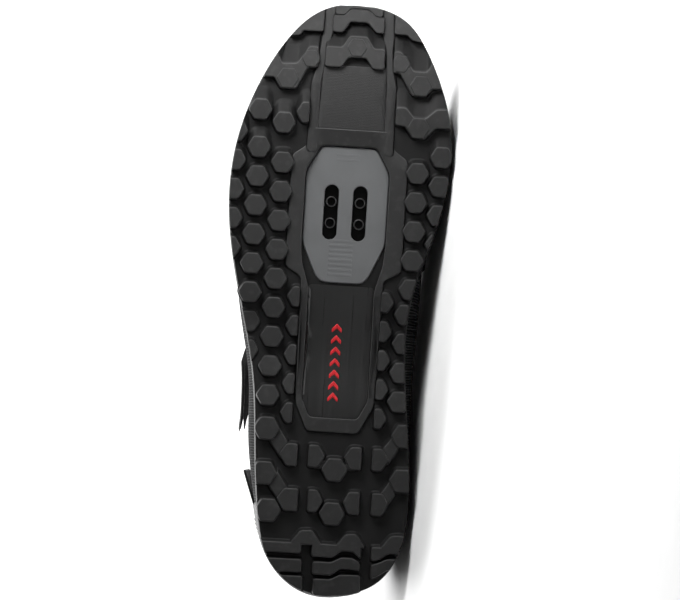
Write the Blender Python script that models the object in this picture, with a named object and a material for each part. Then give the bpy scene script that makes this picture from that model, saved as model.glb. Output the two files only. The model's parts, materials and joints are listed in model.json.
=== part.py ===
"""Right off-road clip-in cycling shoe, empty, lying on its medial side.

The shoe is modelled standing: heel at x = 0, toe along +X, medial side along +Y, ground at z = 0.
At the end it is rolled onto its medial side, where sole edge and upper both touch the floor.
Tables give their lengths as percent of the named sizes: along in LENGTH, across in BALL_WIDTH
(positive on the lateral side), high in INSTEP_HEIGHT.
"""

import math
from collections import namedtuple

import bmesh
import bpy
import numpy as np
from mathutils import Matrix, Vector

MM = 0.001

# Overall sizes of the sole and upper
LENGTH = 290 * MM
BALL_WIDTH = 110 * MM
INSTEP_HEIGHT = 100 * MM

# Fit between pieces
GAP = 0.3 * MM
WALL = 2.0 * MM

# Sole stack
LUG_HEIGHT = 4.0 * MM
TREAD_THICKNESS = 3.5 * MM
TOE_SPRING = 14 * MM
HEEL_BEVEL = 3.0 * MM
ARCH_RISE = 3.0 * MM
SIDEWALL_BULGE = 0.6 * MM
EDGE_MARGIN = 0.5 * MM
FEATHER_INSET = 3.5 * MM

# Tread
LUG_SIZE = 11.5 * MM
HEEL_LUG_SIZE = 12.8 * MM
LUG_PITCH = 14.15 * MM
LUG_DRAFT = 0.5 * MM
LUG_ROOT = 1.2 * MM
FRAME_HEIGHT = 1.6 * MM

# Cleat fixing: two slots 14 mm apart, with threaded bosses behind them
CLEAT_ALONG = 187.4 * MM
CLEAT_ACROSS = 4.5 * MM
SLOT_SPACING = 14.0 * MM
SLOT_LENGTH = 26.8 * MM
SLOT_WIDTH = 6.8 * MM
PLATE_DEPTH = 1.0 * MM
BOSS_SPACING = 10.4 * MM
BOSS_DIAMETER = 5.2 * MM
BOSS_BORE = 3.6 * MM
BOSS_DEPTH = 1.0 * MM
NUT_PLATE_THICKNESS = 2.0 * MM
NUT_PLATE_MARGIN = 4.0 * MM
WINDOW_DEPTH = 2.0 * MM

# Soft parts
INSOLE_THICKNESS = 3.5 * MM
TONGUE_THICKNESS = 3.2 * MM
TONGUE_EXTENSION = 15 * MM
TONGUE_TOE_REACH = 10 * MM
TONGUE_TAPER = 0.2
OVERLAY_THICKNESS = 1.2 * MM
STRAP_WIDTH = 37 * MM
STRAP_THICKNESS = 2.6 * MM
STRAP_STANDOFF = 1.0 * MM
STRAP_END_LIFT = 1.4 * MM
TAB_LIFT = 2.8 * MM
TAB_THICKNESS = 1.2 * MM
LACE_DIAMETER = 2.2 * MM
LACE_CLEARANCE = 0.6 * MM
EYELET_DIAMETER = 8.0 * MM
EYELET_BORE = 4.4 * MM
EYELET_HEIGHT = 0.8 * MM
EYELET_PAIRS = 4

# Grid sizes
AROUND = 72
RISE_STEPS = 8

# Foot sections, one row for each 15 degrees of the round of the foot from heel to toe.
# lateral and medial are the outline's distances from the centre line and bulge_* how far the upper
# stands past it, in percent of BALL_WIDTH. top_* place the collar and throat edge. fullness squares
# the section up, and turn is how far its arc has turned over at that edge, in degrees.
Section = namedtuple(
    "Section",
    "lateral medial bulge_lateral bulge_medial top_along top_lateral top_medial top_high fullness turn",
)
SECTIONS = [
    Section(1.8, -1.8, 2.0, 2.0, 4.0, 1.8, -1.8, 91, 2.0, 40),
    Section(18.1, 16.7, 1.6, 0.4, 5.0, 13.5, 12.0, 88, 2.0, 40),
    Section(30.3, 28.1, 0.4, -2.2, 9.2, 25.0, 22.5, 81, 2.0, 38),
    Section(35.4, 32.5, 1.4, -2.6, 15.6, 29.0, 26.5, 75, 2.0, 36),
    Section(38.0, 31.0, 3.6, 0.6, 24.0, 28.5, 25.0, 79, 2.0, 38),
    Section(41.1, 27.5, 2.9, 4.0, 33.4, 23.5, 19.0, 91, 2.1, 50),
    Section(49.1, 27.8, 1.4, 4.6, 42.0, 17.5, 12.0, 100, 2.2, 62),
    Section(55.6, 37.1, -2.4, -2.4, 51.4, 16.0, 10.0, 89, 2.3, 68),
    Section(54.5, 42.0, -2.2, -2.2, 60.4, 15.0, 8.6, 77, 2.4, 72),
    Section(46.2, 36.9, -1.2, -1.2, 67.4, 14.0, 7.0, 67, 2.5, 74),
    Section(34.8, 27.5, -0.6, -0.6, 71.0, 10.5, 3.6, 62, 2.5, 74),
    Section(21.8, 15.5, -0.4, -0.4, 72.6, 7.0, -0.2, 60.2, 2.5, 74),
    Section(4.5, -4.5, -0.2, -0.2, 73.1, 3.4, -3.4, 59.5, 2.5, 74),
]

# Top of the midsole above the ground line, high in percent of INSTEP_HEIGHT
FEATHER_LINE = [(0, 29.5), (20, 27.5), (45, 22.5), (65, 19.0), (80, 20.0), (90, 24.0), (100, 30.0)]

# Columns of six-sided lugs that repeat along the foot: place across, first place along, how many,
# drift across from first to last, and the rails that trim them
LugColumn = namedtuple("LugColumn", "across first count drift inner_lateral inner_medial")
LUG_COLUMNS = [
    LugColumn(54.3, 57.8, 5, 0.0, None, None),
    LugColumn(43.8, 50.4, 6, 0.0, None, None),
    LugColumn(33.0, 33.4, 9, 0.0, None, None),
    LugColumn(22.1, 30.6, 5, 0.0, 21.8, None),
    LugColumn(-14.8, 30.5, 5, 0.0, None, -14.5),
    LugColumn(-24.8, 33.5, 4, -0.8, None, None),
    LugColumn(-26.8, 52.4, 5, 0.0, None, None),
    LugColumn(-37.1, 60.2, 4, 0.0, None, None),
    LugColumn(44.1, 81.1, 1, 0.0, None, None),
    LugColumn(33.5, 79.1, 1, 0.0, None, None),
    LugColumn(23.1, 81.0, 1, 0.0, 22.6, None),
]

# The larger six-sided lugs of the heel: place across and along
HEEL_LUGS = [
    (32.6, 27.8), (1.7, 21.5), (-28.2, 27.8),
    (32.6, 20.3), (1.6, 14.1), (-28.4, 20.3), (29.9, 14.1),
]

# Bars and part lugs, each with a row for each corner across the foot: across, heel edge, toe edge
BARS = {
    "toe_tip": [(13.6, 98.0, 101), (9.5, 98.0, 101), (6.8, 99.2, 101), (-0.9, 99.2, 101),
                (-4.5, 98.0, 101), (-7.3, 98.0, 101)],
    "toe_second": [(14.5, 95.0, 97.9), (10.0, 95.0, 97.9), (7.0, 96.9, 99.1), (-0.9, 96.9, 99.1),
                   (-4.9, 95.2, 97.9), (-8.2, 95.2, 97.9)],
    "toe_lateral": [(18.6, 94.9, 101), (27.7, 94.9, 101), (28.6, 94.1, 101), (36.0, 93.7, 101)],
    "toe_medial": [(-12.9, 95.2, 101), (-18.6, 95.2, 101), (-20.9, 94.3, 101), (-29.0, 93.8, 101)],
    "front_centre": [(17.0, 89.0, 92.4), (9.8, 89.0, 92.4), (6.7, 90.8, 94.4), (-1.0, 90.8, 94.4),
                     (-4.3, 89.0, 92.4), (-9.3, 89.0, 92.4)],
    "front_lateral": [(20.2, 88.7, 92.2), (24.4, 88.7, 92.2), (29.2, 84.9, 89.2), (36.0, 84.8, 89.0),
                      (39.0, 86.7, 91.2), (47.0, 86.7, 93.0)],
    "front_medial": [(-13.4, 88.6, 92.2), (-16.4, 88.6, 92.2), (-22.3, 84.9, 89.0),
                     (-28.2, 84.8, 89.0), (-31.2, 86.3, 91.0), (-39.0, 86.2, 93.0)],
    "ball_medial": [(-15.7, 79.8, 82.8), (-20.0, 79.7, 82.8), (-23.6, 77.8, 81.2),
                    (-29.0, 77.7, 81.2), (-33.6, 79.7, 82.8), (-44.0, 79.7, 83.0)],
    "heel_d_lateral": [(18.4, 21.7, 25.5), (23.2, 21.7, 25.5), (26.2, 23.5, 23.8)],
    "heel_d_inner_lateral": [(13.5, 21.7, 25.5), (9.1, 21.7, 25.5), (6.4, 23.5, 23.8)],
    "heel_d_inner_medial": [(-2.6, 23.5, 23.8), (-5.0, 21.7, 25.5), (-10.0, 21.7, 25.5)],
    "heel_d_medial": [(-14.8, 21.7, 25.5), (-19.0, 21.7, 25.5), (-22.0, 23.5, 23.8)],
    "heel_e_lateral": [(17.0, 14.2, 18.0), (23.2, 14.2, 18.0), (26.2, 16.0, 16.3)],
    "heel_e_inner_lateral": [(12.5, 14.2, 18.0), (8.6, 14.2, 18.0), (6.1, 16.0, 16.3)],
    "heel_e_inner_medial": [(-3.2, 16.0, 16.3), (-5.4, 14.2, 18.0), (-10.3, 14.2, 18.0)],
    "heel_e_medial": [(-15.7, 14.2, 18.0), (-20.5, 14.2, 18.0), (-22.7, 16.0, 16.3)],
    "rear_hump_lateral": [(18.8, 8.7, 9.1), (14.9, 8.7, 11.1), (9.7, 8.7, 11.2), (5.5, 8.7, 9.0)],
    "rear_hump_middle": [(-1.3, 8.7, 9.0), (-5.2, 8.7, 10.9), (-10.0, 8.7, 11.0), (-13.6, 8.7, 9.0)],
    "rear_hump_medial": [(-21.1, 8.7, 9.0), (-25.0, 8.7, 11.0), (-29.1, 8.7, 11.2), (-34.0, 8.7, 10.6)],
    "rear_1_lateral": [(34.0, 7.2, 9.0), (14.2, 7.2, 9.0)],
    "rear_1_middle": [(9.4, 6.8, 9.0), (0.0, 6.8, 9.0), (-3.6, 8.0, 9.0), (-8.7, 8.0, 9.0),
                      (-12.3, 6.8, 9.0)],
    "rear_1_medial": [(-17.0, 6.6, 9.0), (-20.0, 6.8, 9.0), (-24.5, 8.0, 9.0), (-34.0, 8.0, 9.0)],
    "rear_2_lateral": [(31.0, 4.0, 6.2), (13.6, 4.0, 6.2)],
    "rear_2_middle": [(8.6, 3.8, 6.0), (0.5, 3.8, 6.0), (-3.6, 5.0, 6.9), (-9.0, 5.0, 6.9),
                      (-12.2, 4.8, 6.2)],
    "rear_2_medial": [(-17.2, 3.6, 6.0), (-20.5, 4.2, 6.4), (-24.0, 5.2, 7.1), (-31.0, 5.2, 7.2)],
    "rear_3_lateral": [(25.0, -1, 3.4), (12.9, -1, 3.4)],
    "rear_3_middle": [(7.9, -1, 3.1), (0.5, -1, 3.1), (-3.6, -1, 4.0), (-12.7, -1, 4.1)],
    "rear_3_medial": [(-17.4, -1, 2.6), (-25.0, -1, 4.2)],
}

# Raised frame beside the plate and round the arch window: along, lateral edge, medial edge
FRAME_ROWS = [
    (27.8, 15.0, -7.4), (32.3, 20.5, -13.6), (34.5, 20.8, -14.0), (50.4, 21.3, -14.4),
    (53.6, 21.6, -14.6), (55.2, 28.9, -22.3), (73.9, 28.9, -22.2), (75.6, 22.7, -15.8),
    (78.6, 22.6, -15.2),
]
WINDOW_ROWS = [(30.1, 14.4, -7.0), (33.3, 18.2, -11.2), (52.4, 18.2, -10.9)]
PLATE_ROWS = [
    (52.8, 12.7, -4.9), (53.8, 15.6, -7.8), (59.5, 22.4, -14.6), (71.4, 22.4, -14.6),
    (75.2, 16.8, -9.0), (75.7, 15.2, -7.4),
]

# Strap centre line, from its free lateral end over the instep to its medial anchor:
# place in the girth (1 at the lateral feather edge, -1 at the medial one) and section number
STRAP_LINE = [(0.78, 4.65), (0.55, 5.45), (0.32, 6.3), (0.0, 6.8), (-0.32, 6.95), (-0.6, 7.0), (-0.86, 7.0)]

THROAT_SHARE = 0.32
BRIDGE_SWEEP = 0.15
EYELET_RISE = 0.93
EYELET_FIRST = 70.3
EYELET_LAST = 59.2


def along(percent):
    return percent / 100 * LENGTH


def across(percent):
    """Sideways place in the standing shoe, whose lateral side is towards -Y."""
    return -percent / 100 * BALL_WIDTH


def high(percent):
    return percent / 100 * INSTEP_HEIGHT


def spline(places, values, period=None):
    """A smooth curve through the given values, closed where a period is given."""
    x = np.array(places, float)
    y = np.array(values, float)
    if period:
        x = np.append(x, x[0] + period)
        y = np.append(y, y[0])
    count = len(x)
    step = np.diff(x)
    matrix = np.eye(count)
    rhs = np.zeros(count)
    for i in range(1, count - 1):
        matrix[i, i - 1:i + 2] = step[i - 1], 2 * (step[i - 1] + step[i]), step[i]
        rhs[i] = 6 * ((y[i + 1] - y[i]) / step[i] - (y[i] - y[i - 1]) / step[i - 1])
    if period:
        matrix[0, :2] = 2 * (step[0] + step[-1]), step[0]
        matrix[0, -2] = step[-1]
        rhs[0] = 6 * ((y[1] - y[0]) / step[0] - (y[-1] - y[-2]) / step[-1])
        matrix[-1, 0] = -1
    bend = np.linalg.solve(matrix, rhs)

    def at(place):
        if period:
            place = x[0] + (place - x[0]) % period
        i = int(np.clip(np.searchsorted(x, place) - 1, 0, count - 2))
        h, a, b = step[i], x[i + 1] - place, place - x[i]
        return float(
            (bend[i] * a**3 + bend[i + 1] * b**3) / (6 * h)
            + (y[i] / h - bend[i] * h / 6) * a
            + (y[i + 1] / h - bend[i + 1] * h / 6) * b
        )

    return at


def around(lateral, medial=None, mirror=1):
    """A closed curve over the section numbers 0 to 24: 0 heel, 6 lateral, 12 toe, 18 medial."""
    one_side = [getattr(row, lateral) for row in SECTIONS]
    other = [mirror * getattr(row, medial or lateral) for row in SECTIONS]
    return spline(range(24), one_side + other[-2:0:-1], period=24)


OUTLINE = around("lateral", "medial", -1)
BULGE = around("bulge_lateral", "bulge_medial")
TOP_ALONG = around("top_along")
TOP_ACROSS = around("top_lateral", "top_medial", -1)
TOP_HIGH = around("top_high")
FULLNESS = around("fullness")
TURN = around("turn")
FEATHER = spline(*zip(*FEATHER_LINE))
STRAP_SECTION = spline(*zip(*sorted(STRAP_LINE)))


def smooth(value):
    value = min(max(value, 0.0), 1.0)
    return value * value * (3 - 2 * value)


def tread_line(x):
    """Height of the lug tips over the ground: flat at heel and ball, with arch and toe spring."""
    share = min(max(x / LENGTH, 0), 1)
    toe = TOE_SPRING * max(0, (share - 0.80) / 0.20) ** 1.8
    heel = HEEL_BEVEL * max(0, 1 - share / 0.075) ** 1.6
    arch = ARCH_RISE * math.sin(math.pi * min(max((share - 0.30) / 0.24, 0), 1)) ** 2
    return toe + heel + arch


def tread_base(x):
    return tread_line(x) + LUG_HEIGHT


def tread_top(x):
    return tread_base(x) + TREAD_THICKNESS


def feather_height(x):
    return high(FEATHER(100 * x / LENGTH))


def section_x(section):
    return LENGTH / 2 * (1 - math.cos(section / 24 * 2 * math.pi))


def section_at(x):
    """The lateral section number whose outline point lies at x."""
    return math.acos(1 - 2 * min(max(x / LENGTH, 0), 1)) / (2 * math.pi) * 24


def outline(section, inset=0.0):
    """Point of the sole's outline, and the way out of it, in plan."""
    here = Vector((section_x(section), across(OUTLINE(section))))
    step = 0.02
    ahead = Vector((section_x(section + step), across(OUTLINE(section + step))))
    behind = Vector((section_x(section - step), across(OUTLINE(section - step))))
    run = (ahead - behind).normalized()
    out = Vector((run.y, -run.x))
    return here - out * inset, out


def upper_point(section, rise):
    """Outer face of the upper: rise is 0 at the feather edge and 1 at the collar or throat."""
    foot, out = outline(section, FEATHER_INSET)
    top = Vector((along(TOP_ALONG(section)), across(TOP_ACROSS(section))))
    end = math.radians(TURN(section))
    angle = rise * end
    power = 2 / FULLNESS(section)
    lean = (1 - math.cos(angle) ** power) / (1 - math.cos(end) ** power)
    lift = (math.sin(angle) / math.sin(end)) ** power if angle > 0 else 0.0
    swell = FEATHER_INSET + BULGE(section) / 100 * BALL_WIDTH
    plan = foot.lerp(top, lean) + out * swell * math.sin(math.pi * lift**0.6)
    bottom = feather_height(foot.x) + GAP
    return Vector((plan.x, plan.y, bottom + (high(TOP_HIGH(section)) - bottom) * lift))


def offset(surface, a, b, distance, step=0.01):
    """Point of a surface moved along its normal."""
    low = max(b - step, surface.lowest)
    top = min(b + step, surface.highest)
    run_a = surface(a + step, b) - surface(a - step, b)
    run_b = surface(a, top) - surface(a, low)
    normal = run_a.cross(run_b).normalized()
    return surface(a, b) + normal * distance * surface.facing


class Surface:
    def __init__(self, point, lowest, highest, facing):
        self.point = point
        self.lowest = lowest
        self.highest = highest
        self.facing = facing

    def __call__(self, a, b):
        return self.point(a, b)


UPPER = Surface(upper_point, 0.02, 1.0, 1)


def girth_point(section, place):
    """Round the foot over the instep: place is 1 at the lateral feather edge, -1 at the medial one."""
    side = section if place > 0 else 24 - section
    edge_gap = abs(place) - THROAT_SHARE
    if edge_gap >= 0:
        return upper_point(side, 1 - edge_gap / (1 - THROAT_SHARE))
    step = 0.02
    lateral = upper_point(section, 1)
    medial = upper_point(24 - section, 1)
    lateral_run = lateral - upper_point(section, 1 - step)
    medial_run = upper_point(24 - section, 1 - step) - medial
    reach = (lateral - medial).length
    for run in (lateral_run, medial_run):
        run.x *= BRIDGE_SWEEP
        run.normalize()
        run *= reach
    t = (THROAT_SHARE - place) / (2 * THROAT_SHARE)
    return (
        lateral * (2 * t**3 - 3 * t**2 + 1)
        + lateral_run * (t**3 - 2 * t**2 + t)
        + medial * (3 * t**2 - 2 * t**3)
        + medial_run * (t**3 - t**2)
    )


GIRTH = Surface(girth_point, -1.0, 1.0, -1)


def material(name, colour, roughness, metallic=0.0):
    made = bpy.data.materials.new(name)
    made.use_nodes = True
    shader = made.node_tree.nodes["Principled BSDF"]
    shader.inputs["Base Color"].default_value = (*colour, 1)
    shader.inputs["Roughness"].default_value = roughness
    shader.inputs["Metallic"].default_value = metallic
    return made


def add(name, points, faces, finish, smooth_angle=None):
    """A named object from points and faces, its faces turned outwards."""
    mesh = bpy.data.meshes.new(name)
    mesh.from_pydata([tuple(p) for p in points], [], faces)
    body = bmesh.new()
    body.from_mesh(mesh)
    bmesh.ops.remove_doubles(body, verts=body.verts, dist=1e-7)
    bmesh.ops.recalc_face_normals(body, faces=body.faces)
    body.to_mesh(mesh)
    body.free()
    if smooth_angle:
        mesh.shade_smooth()
        mesh.set_sharp_from_angle(angle=math.radians(smooth_angle))
    made = bpy.data.objects.new(name, mesh)
    if finish:
        mesh.materials.append(finish)
    bpy.context.scene.collection.objects.link(made)
    return made


def helper(name, points, faces):
    made = add(name, points, faces, None)
    made.hide_render = True
    made.display_type = "WIRE"
    return made


def cut(body, cutter, operation="DIFFERENCE", touching=False):
    step = body.modifiers.new(cutter.name, "BOOLEAN")
    step.operation = operation
    step.object = cutter
    step.solver = "EXACT"
    step.use_self = touching


def skins(outer, inner, closed):
    """Faces of a wall between two grids of points, row by row; closed joins the last row to the first."""
    rows, width = len(outer), len(outer[0])
    points = [p for grid in (outer, inner) for row in grid for p in row]

    def index(layer, row, column):
        return (layer * rows + row % rows) * width + column

    faces = []
    for row in range(rows if closed else rows - 1):
        for column in range(width - 1):
            for layer in (0, 1):
                faces.append((
                    index(layer, row, column), index(layer, row + 1, column),
                    index(layer, row + 1, column + 1), index(layer, row, column + 1),
                ))
        for column in (0, width - 1):
            faces.append((
                index(0, row, column), index(0, row + 1, column),
                index(1, row + 1, column), index(1, row, column),
            ))
    if not closed:
        for row in (0, rows - 1):
            for column in range(width - 1):
                faces.append((
                    index(0, row, column), index(0, row, column + 1),
                    index(1, row, column + 1), index(1, row, column),
                ))
    return points, faces


def foot_slab(rings):
    """A solid from closed rings of AROUND points, capped by strips between its two sides."""
    points = [p for ring in rings for p in ring]
    faces = []
    for level in range(len(rings) - 1):
        low, top = level * AROUND, (level + 1) * AROUND
        for i in range(AROUND):
            j = (i + 1) % AROUND
            faces.append((low + i, low + j, top + j, top + i))
    half = AROUND // 2
    for base in (0, (len(rings) - 1) * AROUND):
        for i in range(half):
            strip = (base + i, base + i + 1, base + (AROUND - i - 1) % AROUND, base + (AROUND - i) % AROUND)
            faces.append(tuple(dict.fromkeys(strip)))
    return points, faces


def foot_ring(inset, height):
    ring = []
    for i in range(AROUND):
        plan, _ = outline(i * 24 / AROUND, inset)
        ring.append(Vector((plan.x, plan.y, height(plan.x))))
    return ring


def strip(rows, bottom, top, grow=0.0, steps=4):
    """A solid along the foot from rows of along, lateral edge and medial edge, between two height lines."""
    edges = [(along(a), across(b) - grow, across(c) + grow) for a, b, c in rows]
    edges[0] = (edges[0][0] - grow, *edges[0][1:])
    edges[-1] = (edges[-1][0] + grow, *edges[-1][1:])
    fine = []
    for here, there in zip(edges, edges[1:]):
        count = steps if there[0] - here[0] > 0.05 * LENGTH else 1
        fine += [tuple(np.add(here, np.subtract(there, here) * i / count)) for i in range(count)]
    fine.append(edges[-1])
    points = []
    for x, lateral, medial in fine:
        for height in (bottom, top):
            points += [Vector((x, lateral, height(x))), Vector((x, medial, height(x)))]
    faces = []
    for i in range(len(fine) - 1):
        a, b = 4 * i, 4 * i + 4
        faces += [
            (a, a + 1, b + 1, b), (a + 2, a + 3, b + 3, b + 2),
            (a, a + 2, b + 2, b), (a + 1, a + 3, b + 3, b + 1),
        ]
    last = 4 * (len(fine) - 1)
    faces += [(0, 1, 3, 2), (last, last + 1, last + 3, last + 2)]
    return points, faces


def clipped(corners, point, inward):
    """The part of a flat outline that lies on the inward side of a line."""
    kept = []
    for here, there in zip(corners, corners[1:] + corners[:1]):
        a = (here - point).dot(inward)
        b = (there - point).dot(inward)
        if a >= 0:
            kept.append(here)
        if a * b < 0:
            kept.append(here.lerp(there, a / (a - b)))
    return kept


def trimmed(corners):
    """A lug's outline kept inside the sole's edge."""
    low = max(min(p.x for p in corners), 0.004 * LENGTH)
    top = min(max(p.x for p in corners), 0.996 * LENGTH)
    for share in (0, 0.25, 0.5, 0.75, 1):
        section = section_at(low + (top - low) * share)
        for side in (section, 24 - section):
            if corners:
                point, out = outline(side, EDGE_MARGIN + SIDEWALL_BULGE)
                corners = clipped(corners, point, -out)
    return corners


def hexagon(x, y, size):
    """Six corners, two of them pointing across the foot."""
    return [
        Vector((x + size / 2 * math.sin(k * math.pi / 3), y + size / 2 * math.cos(k * math.pi / 3)))
        for k in range(6)
    ]


def bar_outline(rows):
    heel_side = [Vector((along(heel), across(place))) for place, heel, _ in rows]
    toe_side = [Vector((along(toe), across(place))) for place, _, toe in rows]
    return heel_side + toe_side[::-1]


def lug_outlines():
    found = []
    for column in LUG_COLUMNS:
        for i in range(column.count):
            drift = column.drift * i / max(column.count - 1, 1)
            corners = hexagon(along(column.first) + i * LUG_PITCH, across(column.across + drift), LUG_SIZE)
            if column.inner_lateral is not None:
                corners = clipped(corners, Vector((0, across(column.inner_lateral))), Vector((0, -1)))
            if column.inner_medial is not None:
                corners = clipped(corners, Vector((0, across(column.inner_medial))), Vector((0, 1)))
            found.append(trimmed(corners))
    for place, run in HEEL_LUGS:
        found.append(trimmed(hexagon(along(run), across(place), HEEL_LUG_SIZE)))
    for rows in BARS.values():
        found.append(trimmed(bar_outline(rows)))
    return [corners for corners in found if area(corners) > LUG_SIZE**2 / 20]


def area(corners):
    pairs = zip(corners, corners[1:] + corners[:1])
    return abs(sum(a.x * b.y - b.x * a.y for a, b in pairs)) / 2 if len(corners) > 2 else 0.0


def lug_solids():
    """All lugs as one mesh of prisms with drafted sides, rooted in the tread."""
    points, faces = [], []
    for corners in lug_outlines():
        middle = sum(corners, Vector((0, 0))) / len(corners)
        start, count = len(points), len(corners)
        spread = 1 + 2 * LUG_DRAFT / LUG_SIZE
        for p in corners:
            points.append(Vector((p.x, p.y, tread_line(p.x))))
        for p in corners:
            root = middle + (p - middle) * spread
            points.append(Vector((root.x, root.y, tread_base(p.x) + LUG_ROOT)))
        for i in range(count):
            j = (i + 1) % count
            faces.append((start + i, start + j, start + count + j, start + count + i))
        faces.append(tuple(start + i for i in range(count)))
        faces.append(tuple(start + count + i for i in range(count)))
    return points, faces


def make_outsole(finish):
    bottom = foot_ring(SIDEWALL_BULGE + 0.4 * MM, tread_base)
    edge = foot_ring(SIDEWALL_BULGE, lambda x: tread_base(x) + 0.8 * MM)
    top = foot_ring(SIDEWALL_BULGE, tread_top)
    body = add("outsole", *foot_slab([bottom, edge, top]), finish, 35)
    frame = strip(FRAME_ROWS, lambda x: tread_base(x) - FRAME_HEIGHT, lambda x: tread_base(x) + LUG_ROOT)
    cut(body, helper("cutter_frame", *frame), "UNION")
    cut(body, helper("cutter_lugs", *lug_solids()), "UNION", touching=True)
    for name, rows in (("cutter_window", WINDOW_ROWS), ("cutter_plate", PLATE_ROWS)):
        opening = strip(rows, lambda x: tread_line(x) - LUG_HEIGHT, lambda x: tread_top(x) + LUG_HEIGHT, GAP)
        cut(body, helper(name, *opening))
    return body


def make_midsole(finish):
    low = foot_ring(SIDEWALL_BULGE, lambda x: tread_top(x) + GAP)
    middle = foot_ring(0, lambda x: tread_top(x) + GAP + 0.35 * (feather_height(x) - tread_top(x)))
    top = foot_ring(SIDEWALL_BULGE, feather_height)
    body = add("midsole", *foot_slab([low, middle, top]), finish, 35)
    points, faces = nut_plate_box(GAP, top=tread_top(CLEAT_ALONG) + 2 * GAP + NUT_PLATE_THICKNESS)
    cut(body, helper("cutter_nut_pocket", points, faces))
    return body


def nut_plate_box(grow, top):
    """The nut plate's block, or its pocket in the midsole when grown."""
    half_x = SLOT_LENGTH / 2 + NUT_PLATE_MARGIN + grow
    half_y = SLOT_SPACING / 2 + SLOT_WIDTH / 2 + NUT_PLATE_MARGIN + grow
    low = tread_top(CLEAT_ALONG) + (GAP if grow == 0 else -GAP)
    corners = [(-1, -1), (1, -1), (1, 1), (-1, 1)]
    points = [
        Vector((CLEAT_ALONG + a * half_x, -CLEAT_ACROSS + b * half_y, z)) for z in (low, top) for a, b in corners
    ]
    faces = [(0, 1, 2, 3), (4, 5, 6, 7)] + [(i, (i + 1) % 4, 4 + (i + 1) % 4, 4 + i) for i in range(4)]
    return points, faces


def slot_centres():
    return [-CLEAT_ACROSS + side * SLOT_SPACING / 2 for side in (-1, 1)]


def rod(name, x, y, low, top, diameter, sides=16):
    ring = [2 * math.pi * i / sides for i in range(sides)]
    points = [
        Vector((x + diameter / 2 * math.cos(a), y + diameter / 2 * math.sin(a), z)) for z in (low, top) for a in ring
    ]
    faces = [tuple(range(sides)), tuple(range(sides, 2 * sides))]
    faces += [(i, (i + 1) % sides, sides + (i + 1) % sides, sides + i) for i in range(sides)]
    return helper(name, points, faces)


def make_cleat_plate(finish):
    """The flat plate that the cleat is clamped to, with its two slots."""
    face = tread_base(CLEAT_ALONG) + PLATE_DEPTH
    body = add("cleat_plate", *strip(PLATE_ROWS, lambda x: face, lambda x: tread_top(CLEAT_ALONG), steps=1), finish)
    corner_steps = 5
    for side, y in zip(("medial", "lateral"), slot_centres()[::-1]):
        half, radius = SLOT_LENGTH / 2 - SLOT_WIDTH / 2, SLOT_WIDTH / 2
        ring = []
        for sign, start in ((1, -90), (-1, 90)):
            for i in range(corner_steps + 1):
                angle = math.radians(start + 180 * i / corner_steps)
                ring.append((CLEAT_ALONG + sign * half + radius * math.cos(angle), y + radius * math.sin(angle)))
        count = len(ring)
        points = [Vector((*p, z)) for z in (0, tread_top(CLEAT_ALONG) + LUG_HEIGHT) for p in ring]
        faces = [tuple(range(count)), tuple(range(count, 2 * count))]
        faces += [(i, (i + 1) % count, count + (i + 1) % count, count + i) for i in range(count)]
        cut(body, helper("cutter_slot_" + side, points, faces))
    return body


def make_nut_plate(finish):
    """Metal plate behind the slots, with four threaded bosses that stand into them."""
    top = tread_top(CLEAT_ALONG) + GAP + NUT_PLATE_THICKNESS
    body = add("cleat_nut_plate", *nut_plate_box(0, top), finish)
    low = tread_base(CLEAT_ALONG) + PLATE_DEPTH + BOSS_DEPTH
    spots = [(CLEAT_ALONG + side * BOSS_SPACING / 2, y) for y in slot_centres() for side in (-1, 1)]
    for i, (x, y) in enumerate(spots):
        cut(body, rod(f"cutter_boss_{i}", x, y, low, top - 0.5 * MM, BOSS_DIAMETER), "UNION")
    for i, (x, y) in enumerate(spots):
        cut(body, rod(f"cutter_bore_{i}", x, y, low - LUG_HEIGHT, top + LUG_HEIGHT, BOSS_BORE))
    return body


def make_window_panel(finish):
    low = strip(WINDOW_ROWS, lambda x: tread_base(x) + WINDOW_DEPTH, tread_top)
    return add("arch_window_panel", *low, finish)


def make_insole(finish):
    inset = FEATHER_INSET + WALL + 2 * GAP
    low = foot_ring(inset, lambda x: feather_height(x) + GAP)
    top = foot_ring(inset, lambda x: feather_height(x) + GAP + INSOLE_THICKNESS)
    return add("insole", *foot_slab([low, top]), finish, 35)


def make_upper(finish):
    rises = [i / RISE_STEPS for i in range(RISE_STEPS + 1)]
    sections = [i * 24 / AROUND for i in range(AROUND)]
    outer = [[upper_point(s, r) for r in rises] for s in sections]
    inner = []
    for section, row in zip(sections, outer):
        wall = [offset(UPPER, section, max(r, 0.04), -WALL) for r in rises]
        wall[0].z = row[0].z
        inner.append(wall)
    return add("upper", *skins(outer, inner, closed=True), finish, 60)


def overlay(name, first, last, height, finish, rows=6):
    """A proud panel cut between two larger forms of the upper; height gives its top edge as a rise."""
    outer, inner = [], []
    steps = round((last - first) * AROUND / 24)
    for i in range(steps + 1):
        section = first + i * 24 / AROUND
        top = height(i / steps)
        rises = [0.05 + (top - 0.05) * j / rows for j in range(rows + 1)]
        outer.append([offset(UPPER, section, r, GAP + OVERLAY_THICKNESS) for r in rises])
        inner.append([offset(UPPER, section, r, GAP) for r in rises])
    return add(name, *skins(outer, inner, closed=False), finish, 60)


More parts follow.
